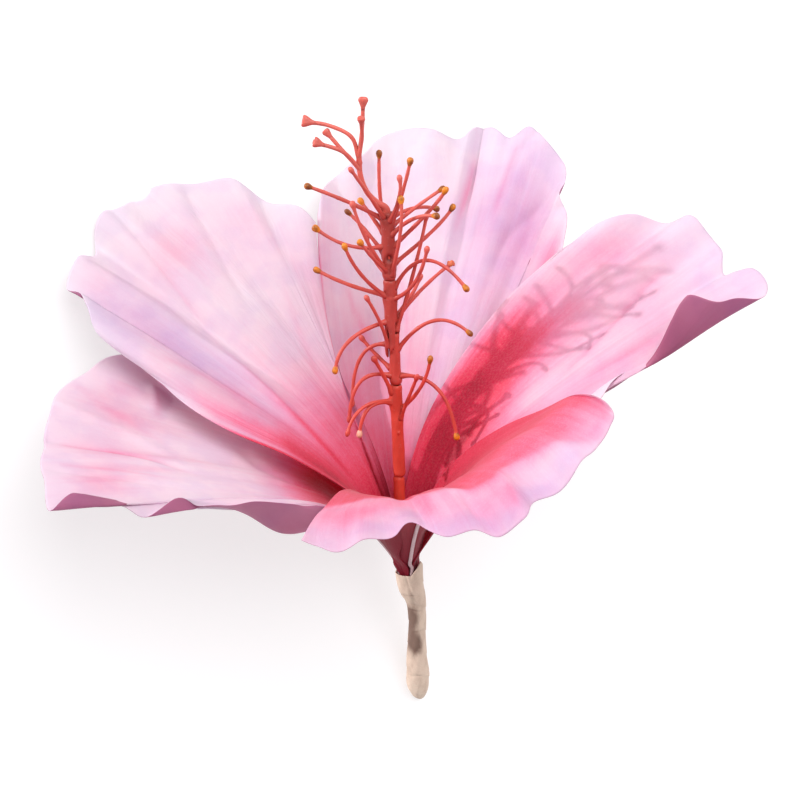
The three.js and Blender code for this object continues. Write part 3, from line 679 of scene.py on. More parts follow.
def bladePoints(petal, along, across, lift, flare):
    steps = np.arange(blade["longest"] + 1)
    slopes = np.radians(alongPetal(petal["slope"], steps + 0.5))
    outs = blade["clawRing"] + np.concatenate([[0], np.cumsum(np.cos(slopes))[:-1]])
    ups = np.concatenate([[0], np.cumsum(np.sin(slopes))[:-1]])
    out, up = np.interp(along, steps, outs), np.interp(along, steps, ups)
    slope = np.radians(alongPetal(petal["slope"], along))
    azimuth = math.radians(petal["azimuth"])
    outward = np.array([math.cos(azimuth), math.sin(azimuth), 0])
    aside = np.array([math.sin(azimuth), -math.cos(azimuth), 0]) + np.zeros(along.shape + (3,))
    cosine, sine = np.cos(slope)[..., None], np.sin(slope)[..., None]
    ahead = outward * cosine + upright * sine
    inward = upright * cosine - outward * sine
    roll = -math.radians(petal["roll"]) * smooth(along, *blade["rollOver"])
    inward, aside = turnedAbout(inward, ahead, roll), turnedAbout(aside, ahead, roll)
    bend = flare * alongPetal([1 / radius for radius in petal["hollow"]], along)
    angle = across * bend
    points = (outward * out[..., None] + upright * up[..., None] + aside * (np.sin(angle) / bend)[..., None]
              + inward * ((1 - np.cos(angle)) / bend + lift)[..., None])
    tilt = math.radians(blade["corollaTilt"])
    lean = np.array([[1, 0, 0], [0, math.cos(tilt), -math.sin(tilt)], [0, math.sin(tilt), math.cos(tilt)]])
    return points @ lean.T + upright * blade["corollaHeight"]


def rimOf(petal, turn):
    line = smoothLine([(across, along, lift) for along, across, lift in petal["rim"]], blade["rimSteps"])
    return atLengths(line, turn * lengthsOf(line)[-1])


def flatPlace(petal, turn, reach):
    rim = rimOf(petal, turn)
    side = 2 * turn - 1
    bulge = np.where(side < 0, *petal["bulge"]) * side**2
    across = rim[..., 0] * reach * (1 + bulge * (1 - reach)) * smooth(reach, *blade["widens"])
    clawAcross = blade["clawHalfWidth"] * side * (1 - reach)**blade["clawFade"]
    return across + clawAcross, rim[..., 1] * reach


def petalPoints(petal, turn, reach):
    across, along = flatPlace(petal, turn, reach)
    side = 2 * turn - 1
    rimStart = 1 - blade["rimReach"]
    wave = smooth(reach, rimStart, blade["waveTo"]) / smooth(1, rimStart, blade["waveTo"])
    lap = (np.where(side < 0, *petal["laps"]) * smooth(abs(side), *blade["lapSides"])
           * smooth(reach, *blade["lapFrom"]) * (1 - smooth(reach, *blade["lapTo"])))
    flare = np.where(side < 0, *petal["flare"])
    flare = flare + (1 - flare) * smooth(reach, *blade["flareTo"])
    lift = rimOf(petal, turn)[..., 2] * wave + lap + pleatLift(petal, turn, reach)
    lift = lift + pressedLift(petal, turn, reach) + alongLines(petal, petal["creases"], across, along)
    for place, width, height, aside, begin, end in petal["curls"]:
        share = bell(turn - place, width) * smooth(reach, begin, end)
        lift = lift + height * share
        across = across + aside * share
    return bladePoints(petal, along, across, lift, flare), across, along


def pleatLift(petal, turn, reach):
    return sum(depth * bell(turn - place, width) * smooth(reach, *blade["pleatFrom"])
               for place, depth, width in petal["pleats"])


# What the press left in every petal: fine veins, and ruffles at the rim
pressed = {
    "veins": 9,
    "place": (0.2, 0.8),
    "depth": (0.03, 0.14),
    "width": (0.008, 0.02),
    "begin": (0.1, 0.3),
    "end": (0.8, 1.05),
    "sway": 0.02,
    "swayPace": 3,
    "fade": 0.8,
    "fadeIn": 0.25,
    "fadeOut": 0.2,
    "ruffles": 9,
    "ruffleFrom": (0.72, 1.05),
    "ruffleHeight": 0.32,  # of one with the usual pace
    "usualPace": 30,
    "pace": (14, 60),  # how fast one ripples along the rim
    "lowering": 0.7,  # faster ones are lower
    "start": (0, 6.28),
}


def pressedLift(petal, turn, reach):
    dice = random.Random(petal["azimuth"])
    lift = np.zeros(turn.shape)
    for k in range(pressed["veins"]):
        place = (k + dice.uniform(*pressed["place"])) / pressed["veins"]
        depth, width = dice.uniform(*pressed["depth"]), dice.uniform(*pressed["width"])
        begin, end = dice.uniform(*pressed["begin"]), dice.uniform(*pressed["end"])
        sway = dice.uniform(-pressed["sway"], pressed["sway"])
        vein = place + sway * np.sin(pressed["swayPace"] * reach + k)
        fading = pressed["fade"] * smooth(reach, end - pressed["fadeOut"], end)
        shown = smooth(reach, begin, begin + pressed["fadeIn"]) * (1 - fading)
        lift = lift - depth * bell(turn - vein, width) * shown
    for k in range(pressed["ruffles"]):
        pace, start = dice.uniform(*pressed["pace"]), dice.uniform(*pressed["start"])
        height = pressed["ruffleHeight"] * (pressed["usualPace"] / pace)**pressed["lowering"]
        lift = lift + height * np.sin(pace * turn + start) * smooth(reach, *pressed["ruffleFrom"])
    return lift


# Creases, brush strokes and painted fold shade fade in over their first part, unless they start at the rim,
# and out at the end
drawn = {
    "fadeIn": 0.25,
    "fadeOut": 0.35,
    "atRim": 0.95,  # the reach from which one counts as starting there
    "softness": 1.5,
    "steps": 6,
}


def alongLines(petal, lines, across, along):
    total = np.zeros(across.shape)
    for amount, width, places in lines:
        turns, reaches = smoothLine([(turn, reach, 0) for turn, reach in places], drawn["steps"])[:, :2].T
        line = np.stack(flatPlace(petal, turns, reaches), -1)
        gap = np.full(across.shape, np.inf)
        share = np.zeros(across.shape)
        for k in range(len(line) - 1):
            step = line[k + 1] - line[k]
            away = np.stack([across - line[k, 0], along - line[k, 1]], -1)
            part = np.clip((away @ step) / (step @ step), 0, 1)
            distance = np.linalg.norm(away - part[..., None] * step, axis=-1)
            share = np.where(distance < gap, (k + part) / (len(line) - 1), share)
            gap = np.minimum(gap, distance)
        fade = 1 - smooth(share, 1 - drawn["fadeOut"], 1)
        if places[0][1] < drawn["atRim"]:
            fade = fade * smooth(share, 0, drawn["fadeIn"])
        total = total + amount * fade * bell(gap, width, drawn["softness"])
    return total


def softPatches(layers, turn, reach):
    return sum(amount * bell(turn - place, wide) * bell(reach - height, tall)
               for place, height, wide, tall, amount in layers)


# the dye level, with painted shade where sprays and strokes follow shadows and folds
def stainOf(petal, turn, reach, across, along):
    stain = np.interp(reach, np.linspace(0, 1, len(petal["dye"])), petal["dye"])
    for drop, softness, places in petal["banks"]:
        line = np.interp(turn, *np.transpose(places))
        stain = stain - drop * smooth(reach - line, -softness, softness)
    stain = stain + softPatches(petal["spraysAndShade"], turn, reach)
    return stain + alongLines(petal, petal["strokesAndFoldShade"], across, along)


def closedSheet(middle, thickness):
    rows, columns = middle.shape[:2]
    over, on = np.gradient(middle, axis=1), np.gradient(middle, axis=0)
    normal = unit(np.cross(over, on)) * thickness[..., None] / 2
    points = np.concatenate([(middle + normal).reshape(-1, 3), (middle - normal).reshape(-1, 3)])
    index = np.arange(rows * columns).reshape(rows, columns)
    a, b, c, d = index[:-1, :-1], index[:-1, 1:], index[1:, 1:], index[1:, :-1]
    top = np.stack([a, b, c, d], -1).reshape(-1, 4)
    bottom = np.stack([a, d, c, b], -1).reshape(-1, 4) + rows * columns
    border = np.concatenate([index[0, :-1], index[:-1, -1], index[-1, :0:-1], index[:0:-1, 0]])
    after = np.roll(border, -1)
    edge = np.stack([border, border + rows * columns, after + rows * columns, after], -1)
    return points, np.concatenate([top, bottom, edge]).tolist(), len(edge)


def clawPoints(petal, middle):  # from the blade down into the tape
    side = np.linspace(-1, 1, middle.shape[1])
    azimuth = np.radians(petal["azimuth"] - side * claw["spread"])
    radius = claw["ring"] + claw["bow"] * side**2
    foot = np.stack([stemCentre(claw["foot"]) + radius * np.cos(azimuth), radius * np.sin(azimuth),
                     claw["foot"] + 0 * side], -1)
    top = middle[0]
    leave = top - unit(middle[1] - middle[0]) * claw["leaves"]
    arrive = foot + upright * claw["arrives"]
    t = np.linspace(0, 1, claw["rows"], endpoint=False)[:, None, None]
    return (1 - t)**3 * foot + 3 * t * (1 - t)**2 * arrive + 3 * t**2 * (1 - t) * leave + t**3 * top


def bothFaces(values):
    return np.concatenate([values.ravel(), values.ravel()])


def makePetal(name, petal):
    reach = 1 - (1 - np.linspace(0, 1, blade["rows"] + 1))**blade["crowding"]
    turn, reach = np.meshgrid(np.linspace(0, 1, blade["columns"] + 1), reach)
    middle, across, along = petalPoints(petal, turn, reach)
    lower = clawPoints(petal, middle)
    below = np.linspace(claw["below"], 0, len(lower), endpoint=False)[:, None] + 0 * turn[0]
    middle = np.concatenate([lower, middle])
    across = np.concatenate([across[0] + 0 * below, across])
    along = np.concatenate([below * blade["longest"], along])
    turn, reach = np.concatenate([turn[0] + 0 * below, turn]), np.concatenate([below, reach])
    thin = np.maximum(smooth(reach, blade["thinRim"], 1), smooth(abs(2 * turn - 1), blade["thinSide"], 1))
    points, faces, edges = closedSheet(middle, blade["thickness"] * (1 - blade["thinBy"] * thin))
    uv = np.stack([0.5 + bothFaces(across) / blade["clothSpan"], bothFaces(along) / blade["clothSpan"]], -1)
    numbers = {
        "stain": bothFaces(stainOf(petal, turn, reach, across, along)),
        "reach": bothFaces(reach),
        "turn": bothFaces(turn),
        "cool": bothFaces(softPatches(petal["lilacAndShade"], turn, reach)),
        "outside": np.concatenate([np.zeros(turn.size), np.ones(turn.size)]),
    }
    piece = makePiece(name + "_fabric", points, faces, petalFabric, name, numbers, uv)
    for face in piece.data.polygons[-edges:]:  # the cut edge stays crisp
        face.use_smooth = False


for name, petal in petals.items():
    makePetal(name, petal)
print("petals made:", len(petals))


# A long body made of rings of points, one ring after another

def ringFaces(rows, sides, wrapRows=False):
    index = np.arange(rows * sides).reshape(rows, sides)
    lower, upper = (index, np.roll(index, -1, axis=0)) if wrapRows else (index[:-1], index[1:])
    corners = [lower, np.roll(lower, -1, axis=1), np.roll(upper, -1, axis=1), upper]
    faces = np.stack(corners, -1).reshape(-1, 4).tolist()
    if not wrapRows:
        faces += [index[0, ::-1].tolist(), index[-1].tolist()]
    return faces


def sweep(path, radii, sides):
    ahead = unit(np.gradient(path, axis=0))
    carried = [unit(np.cross(ahead[0], (0.0, 0.2, 1.0)))]  # any direction that no path starts out in
    for direction in ahead[1:]:  # each ring's frame is carried on from the last one without a twist
        carried.append(unit(carried[-1] - direction * (carried[-1] @ direction)))
    side = np.array(carried)
    over = np.cross(ahead, side)
    angle = anglesRound(sides)
    ring = side[:, None] * np.cos(angle)[:, None] + over[:, None] * np.sin(angle)[:, None]
    radii = np.asarray(radii, float)
    radii = radii[:, None] if radii.ndim == 1 else radii
    return path[:, None] + ring * (radii + np.zeros(sides))[..., None]


class Shape:
    def __init__(self, *fields):
        self.points, self.faces, self.count = [], [], 0
        self.numbers = {field: [] for field in fields}

    def add(self, rings, faces=None, **numbers):
        rows, sides = rings.shape[:2]
        faces = ringFaces(rows, sides) if faces is None else faces
        self.faces += [[k + self.count for k in face] for face in faces]
        self.points.append(rings.reshape(-1, 3))
        self.count += rows * sides
        for field, values in self.numbers.items():
            value = np.asarray(numbers.get(field, 0.0), float)
            value = value[:, None] if value.ndim == 1 else value
            values.append((value + np.zeros((rows, sides))).ravel())

    def make(self, name, material, node):
        numbers = {field: np.concatenate(values) for field, values in self.numbers.items()}
        return makePiece(name, np.concatenate(self.points), self.faces, material, node, numbers)


# The moulded stamen column: coral plastic, its anthers dabbed with ochre paint

plastic = {
    "coral": "#c9493f",
    "salmon": "#dd6a5e",  # out along the filaments and on the pistil
    "orange": "#e04c38",  # on the bare rod
    "shade": "#7c2420",  # painted shade: in hollows, pits and the bore, at filament roots and low on the rod
    "ochre": "#d8801c",
    "ochreDark": "#7c3d10",
    "pale": "#d9a58c",  # a tip that was left unpainted
    "cloud": (260, 3, 0.6),
    "speck": (1500, 3, 0.6),
    "cloudShade": (0.5, -0.1),
    "deepShare": 0.75,
    "speckWhite": (0.62, 0.8, 0.0, 0.12),
    "raggedness": 0.5,  # of the paint's edge
    # over what range one look gives way to the other
    "cloudToOchre": (0.36, 0.6),
    "bareToPaint": (0.35, 0.6),
    "bareToPale": (-0.3, -0.9),
    "relief": (0.6, 0.4),  # of the cloud and the specks
    "bump": (0.35, 0.00012),
    "roughness": 0.42,
    "specular": 0.45,
    "glowThrough": {
        "Subsurface Weight": 0.12, "Subsurface Scale": 0.0012, "Subsurface Radius": (1.0, 0.3, 0.2),
    },
}


def makePlastic():
    n = Nodes("moulded_plastic")
    paintShare, warm, deep = n.number("paint"), n.number("warm"), n.number("deep")
    where = n.add("ShaderNodeTexCoord").outputs["Object"]
    cloud, speck = n.noise(where, *plastic["cloud"]), n.noise(where, *plastic["speck"])
    shade = paint(plastic["shade"])
    color = n.mixed(n.between(warm, -1.0, 0.0), paint(plastic["salmon"]), paint(plastic["coral"]))
    color = n.mixed(n.between(warm, 0.0, 1.0), color, paint(plastic["orange"]))
    color = n.mixed(n.scaled(cloud, *plastic["cloudShade"]), color, shade, "MULTIPLY")
    # painted shade, as strong as the deep number says
    color = n.mixed(n.scaled(deep, plastic["deepShare"]), color, shade)
    color = n.mixed(n.between(speck, *plastic["speckWhite"]), color, white)
    dark, light = paint(plastic["ochreDark"]), paint(plastic["ochre"])
    dab = n.mixed(n.between(cloud, *plastic["cloudToOchre"]), dark, light)
    ragged = n.plus(paintShare, n.swung(speck, plastic["raggedness"]))
    color = n.mixed(n.between(ragged, *plastic["bareToPaint"]), color, dab)
    color = n.mixed(n.between(paintShare, *plastic["bareToPale"]), color, paint(plastic["pale"]))
    cloudRelief, speckRelief = plastic["relief"]
    height = n.plus(n.scaled(cloud, cloudRelief), n.scaled(speck, speckRelief))
    return n.finish(n.surface({
        "Base Color": color, "Roughness": plastic["roughness"], "Specular IOR Level": plastic["specular"],
        "Normal": n.bump(height, *plastic["bump"]), **plastic["glowThrough"],
    }))


mouldedPlastic = makePlastic()

column = {
    "foot": -0.9,  # the axis leans a little to the left as it rises
    "lean": -0.0385,
    "bore": 1.1,
    "sides": 56,
    "rowHeight": 0.3,
    "rod": [  # height, across, radius
        (-30, 3.2, 0.9), (-19, 3.1, 0.9), (-10.4, 2.5, 0.9), (-5, 1.1, 0.9), (0, 0.1, 0.9),
        (2, -0.4, 0.95), (5, -0.9, 1.4), (14, -1.25, 1.42), (22, -1.55, 1.4), (22.6, -1.58, 1.2),
        (22.7, -1.6, 0.75), (87.9, -4.28, 0.75),
    ],
    "rodRings": [(-30, 22, 0.5), (22, 22.8, 0.1), (23, 88, 3.0)],  # from, to, step
    "rodWaves": [(0.03, 3, 0.7, 0), (0.02, 5, -0.4, 0)],
    "rodWarm": (1, 0.3, 10, 22),  # its warmth, how much it loses, and between what heights
    "rodShade": (0.5, -2, 9),  # painted shade: how dark it is in the throat, and between what heights that ends
    "sleeveWaves": [(0.035, 2, 0.5, 0), (0.025, 5, -0.8, 1)],
    "sleeveLip": (0.16, 0.25),  # how much its ends are rounded off, and over what height
    "sleeveBead": (0.07, 0.9, 0.5),  # a bead near each end: height, distance from the end, width
    "thinnest": 0.72,
    "wall": 0.12,
    "bossSize": (0.3, 0.6, 1.7, 34),  # at each filament: how far out, how low, height, half width
    "pitShade": 1.2,
}


def columnCentre(height, aside=0.0):
    height = np.asarray(height, float)
    return np.stack([column["foot"] + column["lean"] * height + aside, 0 * height, height], -1)


def makeRod():
    line = np.array(column["rod"])
    heights = np.concatenate([np.arange(*rings) for rings in column["rodRings"]])
    across, radius = (np.interp(heights, line[:, 0], line[:, k]) for k in (1, 2))
    angle = anglesRound(column["sides"])
    radius = radius[:, None] + uneven(angle, heights[:, None], column["rodWaves"])
    centres = np.stack([across, 0 * heights, heights], -1)
    warm, cooling, coolFrom, coolTo = column["rodWarm"]
    dark, darkFrom, darkTo = column["rodShade"]
    shape = Shape("paint", "warm", "deep")
    shape.add(centres[:, None] + spokes(angle) * radius[..., None],
              warm=warm - cooling * smooth(heights, coolFrom, coolTo),
              deep=dark * (1 - smooth(heights, darkFrom, darkTo)))
    shape.make("column_rod_moulded", mouldedPlastic, "column_rod")


makeRod()

# Stamen sleeves: from and to in height; lobes at the lower end: azimuth, half width, rise
# marks, which stand out or are pits: height, azimuth, size, depth
# filaments: height and azimuth of the root, then how far out and up it bends and ends, and its tip
# deep is how much painted shade darkens each sleeve, more on the higher ones among the filaments
sleeves = {
    "stamens_low": {
        "from": 22.8, "to": 46.6, "radius": 1.5, "aside": 0.4, "lobes": [], "warm": 0.6, "deep": 0.15,
        "marks": [(34.5, -80, 0.35, 0.4)],
        "filaments": [
            (44.5, 215, 3.5, 5, 6.5, 10, "bud"),
            (42.5, 215, 12, 3, 14.5, -5.5, "bud"),
            (42, 215, 10, 3.5, 11, -6, "pale"),
            (40.5, 335, 8, 6, 9, 14, "ochre"),
            (38, 310, 6, 9.5, 7.5, 12.5, "bud"),
        ],
    },
    "stamens_ring": {
        "from": 46.9, "to": 60, "radius": 1.32, "aside": 0.45, "lobes": [], "warm": 0.3, "deep": 0.25,
        "marks": [(48, -80, 1.1, 0.12)],
        "filaments": [
            (50.5, 150, 6, 3, 9.5, 6.5, "bud"),
            (49, 200, 11.5, 4, 12, -10, "bud"),
            (49, 345, 13, 2, 15.5, -14.5, "ochre"),
        ],
    },
    "stamens_middle": {
        "from": 53.9, "to": 73.6, "radius": 1.55, "aside": -0.05, "warm": 0, "deep": 0.45,
        "lobes": [(-75, 30, 2.2), (-127, 15, 7.5), (-30, 28, 9), (90, 60, 6)],
        "marks": [(69, -80, 0.5, 0.15)],
        "filaments": [
            (69.5, 205, 9, 6, 12, 14, "ochre"),
            (69.5, 165, 11.5, 1.5, 18.5, 5, "ochre"),
            (71.5, 340, 8.5, 15, 19.5, 2, "ochre"),
            (63, 25, 7.5, 7.5, 16, 12.5, "torn"),
            (69, 320, 9, 3.5, 11.5, 14.5, "bud"),
            (63.5, 45, 8, 4.5, 10, 8.5, "bud"),
            (60.5, 350, 6.5, 18, 8.5, 29.5, "bud"),
            (56.5, 220, 3, 6.5, 8, 14, "bud"),
            (63, 205, 14, -1.5, 15, -10.5, "ochre"),
            (57, 170, 10, 0.5, 10, -16, "bud"),
            (55.5, 350, 10, 13.5, 19, 5.5, "ochre"),
        ],
    },
    "stamens_top": {
        "from": 73.8, "to": 90.6, "radius": 1.5, "aside": 0, "lobes": [], "warm": -0.2, "deep": 0.62,
        "marks": [(79.3, -84, 0.85, -0.95), (89.6, -105, 0.45, -0.5)],
        "filaments": [
            (89.5, 225, 9, 10.5, 12, 14, "bud"),
            (89, 195, 9, 5, 19.5, 9.5, "ochre"),
            (85, 145, 7.5, 6.5, 8, 7, "ochre"),
            (88.5, 130, 3.5, 5, 3, 16, "ochre"),
            (87.5, 335, 5, 11, 6, 16.5, "ochre"),
            (88.5, 300, 7.5, 8, 6, 12, "bud"),
            (87, 20, 7.5, 4.5, 14, 8, "ochre"),
            (82, 340, 12.5, 11.5, 14.5, 15.5, "ochre"),
            (89, 35, 8.5, 2.5, 14.5, 0, "ochre"),
            (77.5, 10, 13, 9, 15.5, 13.5, "ochre"),
            (85, 320, 7.5, 7, 15, 7.5, "ochre"),
            (75, 295, 8.5, 14, 6.5, 20.5, "ochre"),
            (80, 160, 7, 7, 10.5, 9.5, "ochre"),
            (76.5, 210, 7.5, 8.5, 10, 17.5, "bud"),
            (82, 185, 10, -1.5, 17.5, 5, "ochre"),
            (75, 130, 7.5, 1.5, 8.5, 8, "bud"),
            (76, 235, 7, 4.5, 12, 10, "ochre"),
        ],
    },
}

filament = {
    "radius": 0.52,
    "taper": 0.1,
    "rootOut": 1.15,
    "rootFlare": 0.34,
    "rootLength": 1.4,
    "rootShade": (0.45, 2.5),  # painted shade at the root: how dark, and over what length
    "paling": 0.5,  # how much paler the plastic is towards the tip
    "sides": 14,
    "curveSteps": 60,
    "spacing": 0.45,
    "fewestRings": 6,
    "sway": (0.05, 1.3),  # how much its thickness swells, and how fast along it
    "variety": 0.06,
    "tipSize": (0.92, 1.1),
    "tipLumps": (0.07, 0.05),
    "tornLumps": 0.45,
    "dabFrom": 0.6,  # before the end of the tip
    "dabs": {"ochre": 1, "torn": 0.45, "pale": -1, "bud": 0},
    # from the end: distance, radius
    "anther": [
        (-1.5, 0.42), (-1.1, 0.46), (-0.8, 0.57), (-0.45, 0.7), (-0.1, 0.78), (0.2, 0.79), (0.5, 0.71),
        (0.76, 0.55), (0.92, 0.33), (0.98, 0.1),
    ],
    "bud": [
        (-1.5, 0.42), (-1.1, 0.45), (-0.8, 0.53), (-0.45, 0.63), (-0.1, 0.69), (0.2, 0.69), (0.5, 0.61),
        (0.75, 0.46), (0.89, 0.27), (0.95, 0.09),
    ],
}


def anyStart(dice):
    return dice.uniform(0, 6)


def addFilament(shape, sleeve, row, dice):
    height, azimuth, bendOut, bendUp, reach, rise, tip = row
    outward = spokes(math.radians(azimuth))
    root = columnCentre(height, sleeve["aside"])
    start = root + outward * filament["rootOut"]
    bend = root + outward * bendOut + upright * bendUp
    end = root + outward * reach + upright * rise
    t = np.linspace(0, 1, filament["curveSteps"])[:, None]
    line = (1 - t)**2 * start + 2 * t * (1 - t) * bend + t**2 * end
    total = lengthsOf(line)[-1]
    knob = np.array(filament["bud" if tip == "bud" else "anther"])
    knobStart = total + knob[0, 0]
    count = max(filament["fewestRings"], int(knobStart / filament["spacing"]))
    lengths = np.concatenate([np.linspace(0, knobStart, count, endpoint=False), total + knob[:, 0]])
    swell, pace = filament["sway"]
    sway = 1 + swell * np.sin(pace * lengths + anyStart(dice))
    sway += dice.uniform(-filament["variety"], filament["variety"])
    radius = (filament["radius"] - filament["taper"] * lengths / total) * sway
    radius += filament["rootFlare"] * bell(lengths, filament["rootLength"])
    knobRadius = knob[:, 1] * dice.uniform(*filament["tipSize"])
    radius = np.where(lengths >= knobStart, np.interp(lengths, total + knob[:, 0], knobRadius), radius)
    angle = anglesRound(filament["sides"])
    atTip = smooth(lengths, knobStart, total)[:, None]
    twoLumps, threeLumps = (size * np.sin(count * angle + anyStart(dice))
                            for count, size in zip((2, 3), filament["tipLumps"]))
    lumps = 1 + atTip * (twoLumps + threeLumps)
    if tip == "torn":
        torn = np.sin(3 * angle + 1) * np.sin(4 * lengths[:, None])
        lumps = lumps * (1 + filament["tornLumps"] * atTip * torn)
    dab = filament["dabs"][tip] * smooth(lengths, knobStart, total - filament["dabFrom"])
    rootDark, rootDarkLength = filament["rootShade"]
    shape.add(sweep(atLengths(line, lengths), radius[:, None] * lumps, filament["sides"]), paint=dab,
              warm=sleeve["warm"] - filament["paling"] * lengths / total,
              deep=rootDark * np.exp(-lengths / rootDarkLength))


def makeSleeve(name, sleeve):
    dice = random.Random(name)
    angle = anglesRound(column["sides"])
    rows = int((sleeve["to"] - sleeve["from"]) / column["rowHeight"]) + 1
    low = sleeve["from"] + sum(rise * bell(degreesFrom(azimuth, angle), wide, 4)
                               for azimuth, wide, rise in sleeve["lobes"])
    height = low + (sleeve["to"] - low) * np.linspace(0, 1, rows)[:, None]
    fromEnd = np.minimum(height - low, sleeve["to"] - height)
    lip, lipHeight = column["sleeveLip"]
    bead, beadPlace, beadWidth = column["sleeveBead"]
    outer = sleeve["radius"] - lip * bell(fromEnd, lipHeight) + bead * bell(fromEnd - beadPlace, beadWidth)
    outer = outer + uneven(angle, height, column["sleeveWaves"])
    deep = sleeve["deep"] + 0 * height
    swell, lower, tall, wide = column["bossSize"]
    for filamentRow in sleeve["filaments"]:
        root, azimuth = filamentRow[:2]
        outer = outer + swell * bell(height - root + lower, tall) * bell(degreesFrom(azimuth, angle), wide)
    # pits are painted darker, as shade
    for place, azimuth, size, rise in sleeve["marks"]:
        across = np.radians(degreesFrom(azimuth, angle)) * sleeve["radius"]
        spot = bell(np.hypot(height - place, across), size, 3)
        outer = outer + rise * spot
        deep = deep + (column["pitShade"] if rise < 0 else 0) * spot
    outer = np.maximum(outer, column["thinnest"])
    bore = np.minimum(column["bore"], outer - column["wall"])
    centres = columnCentre(height, sleeve["aside"])
    outside, inside = (centres + spokes(angle) * radius[..., None] for radius in (outer, bore))
    shape = Shape("paint", "warm", "deep")
    # the bore is painted in full shade
    shape.add(np.concatenate([outside, inside[::-1]]), ringFaces(2 * rows, column["sides"], wrapRows=True),
              warm=sleeve["warm"], deep=np.concatenate([deep, 1 + 0 * deep]))
    for row in sleeve["filaments"]:
        addFilament(shape, sleeve, row, dice)
    shape.make(name + "_moulded", mouldedPlastic, name)


for name, sleeve in sleeves.items():
    makeSleeve(name, sleeve)
print("stamen column made:", len(sleeves), "sleeves")


# The pistil: its style curves to the left and forks into five branches with grooved pads

pistil = {
    "foot": 88.3,
    "style": [(-4.6, 0, 91.5), (-6.8, -0.5, 93.2), (-9.2, -1, 96), (-10.7, -1, 100), (-11.1, -1, 106)],
    "styleRadius": (0.95, 0.66),
    "styleSlims": (0, 0.5),
    "styleShade": (0.5, 8),  # painted shade at its foot: how dark, and how fast that fades
    "styleFork": (0.16, 0.86, 0.02),  # a swelling where it forks: size, share of its length, width
    "styleEnd": (0.5, 0.97),  # how much it narrows, and from where
    "styleRings": 60,
    "branchRadius": 0.5,
    "branchRoot": (0.25, 2),
    "branchSway": (0.03, 1.5),
    "branchRings": 40,
    "branchIntoPad": 0.4,
    "curveSteps": 24,
    "sides": 20,
    "warm": {"style": -0.7, "branch": -0.85, "pad": -1},
    # points along each branch, then its pad's half width, half depth, length and lobes
    "branches": [
        ([(-11.1, -1, 104.5), (-10.3, -1, 111), (-10, -1, 117.8)], 1.4, 0.9, 3.1, 2),
        ([(-11.1, -1, 104.5), (-10.3, -2.5, 110), (-10.4, -5, 114.5)], 1.1, 0.8, 2.6, 2),
        ([(-11.1, -1, 104.5), (-12.8, -1, 109.5), (-17.9, 0, 112), (-23, 0, 113)], 1.5, 1.0, 3.4, 3),
        ([(-10.8, -1, 101.5), (-14.6, -1, 105.8), (-18.4, 0, 110)], 1.15, 0.85, 2.8, 2),
        ([(-10.8, -1, 101.5), (-14.8, -3, 106.4), (-20.5, -4, 108.8)], 1.3, 0.9, 3.0, 3),
    ],
    # along the pad from its neck to its end: share of the half width and of the half depth
    "padProfile": [
        (0, 0, 0), (0.25, 0.1, 0.15), (0.45, 0.4, 0.45), (0.65, 0.78, 0.8), (0.82, 0.98, 1),
        (0.92, 1, 0.95), (0.99, 0.9, 0.75), (1.02, 0.7, 0.5), (1.0, 0.35, 0.2),
    ],
    "padFaces": (0, -0.94, 0.34),  # the way its broad side looks
    "padSides": 40,
    "padBehind": 0.55,  # the share of its length that lies before the branch's end
    "padNeck": 0.95,
    "lobeTurn": {2: 0, 3: 0.8},  # how far the lobes are turned, by their number
    "groove": 0.13,
    "grooveSharpness": 6,
    "grooveFrom": (0.3, 0.7),
    "notch": 0.16,
    "notchFrom": (0.6, 1),
    "notchRoundness": 0.5,
    "padShade": 0.12,
}


def addPad(shape, line, halfWidth, halfDepth, length, lobes):
    ahead = unit(line[-1] - line[-2])
    facing = np.array(pistil["padFaces"])
    depthWay = unit(facing - ahead * (facing @ ahead))
    wideWay = np.cross(depthWay, ahead)
    angle = anglesRound(pistil["padSides"])
    aroundLobes = lobes * angle / 2 + pistil["lobeTurn"][lobes]
    grooved = np.abs(np.cos(aroundLobes))**pistil["grooveSharpness"]  # 1 in each groove
    notched = grooved * np.abs(np.cos(angle))**pistil["notchRoundness"]
    start = line[-1] - ahead * length * pistil["padBehind"]
    neck = pistil["branchRadius"] * pistil["padNeck"]
    rings = []
    for along, wide, deep in pistil["padProfile"]:
        x, y = neck + (halfWidth - neck) * wide, neck + (halfDepth - neck) * deep
        groove = 1 - pistil["groove"] * grooved * smooth(along, *pistil["grooveFrom"])
        notch = pistil["notch"] * length * smooth(along, *pistil["notchFrom"]) * notched
        rings.append(start + ahead * (along * length - notch)[:, None]
                     + wideWay * (x * np.cos(angle) * groove)[:, None]
                     + depthWay * (y * np.sin(angle) * groove)[:, None])
    shape.add(np.array(rings)[:, ::-1], warm=pistil["warm"]["pad"], deep=pistil["padShade"])


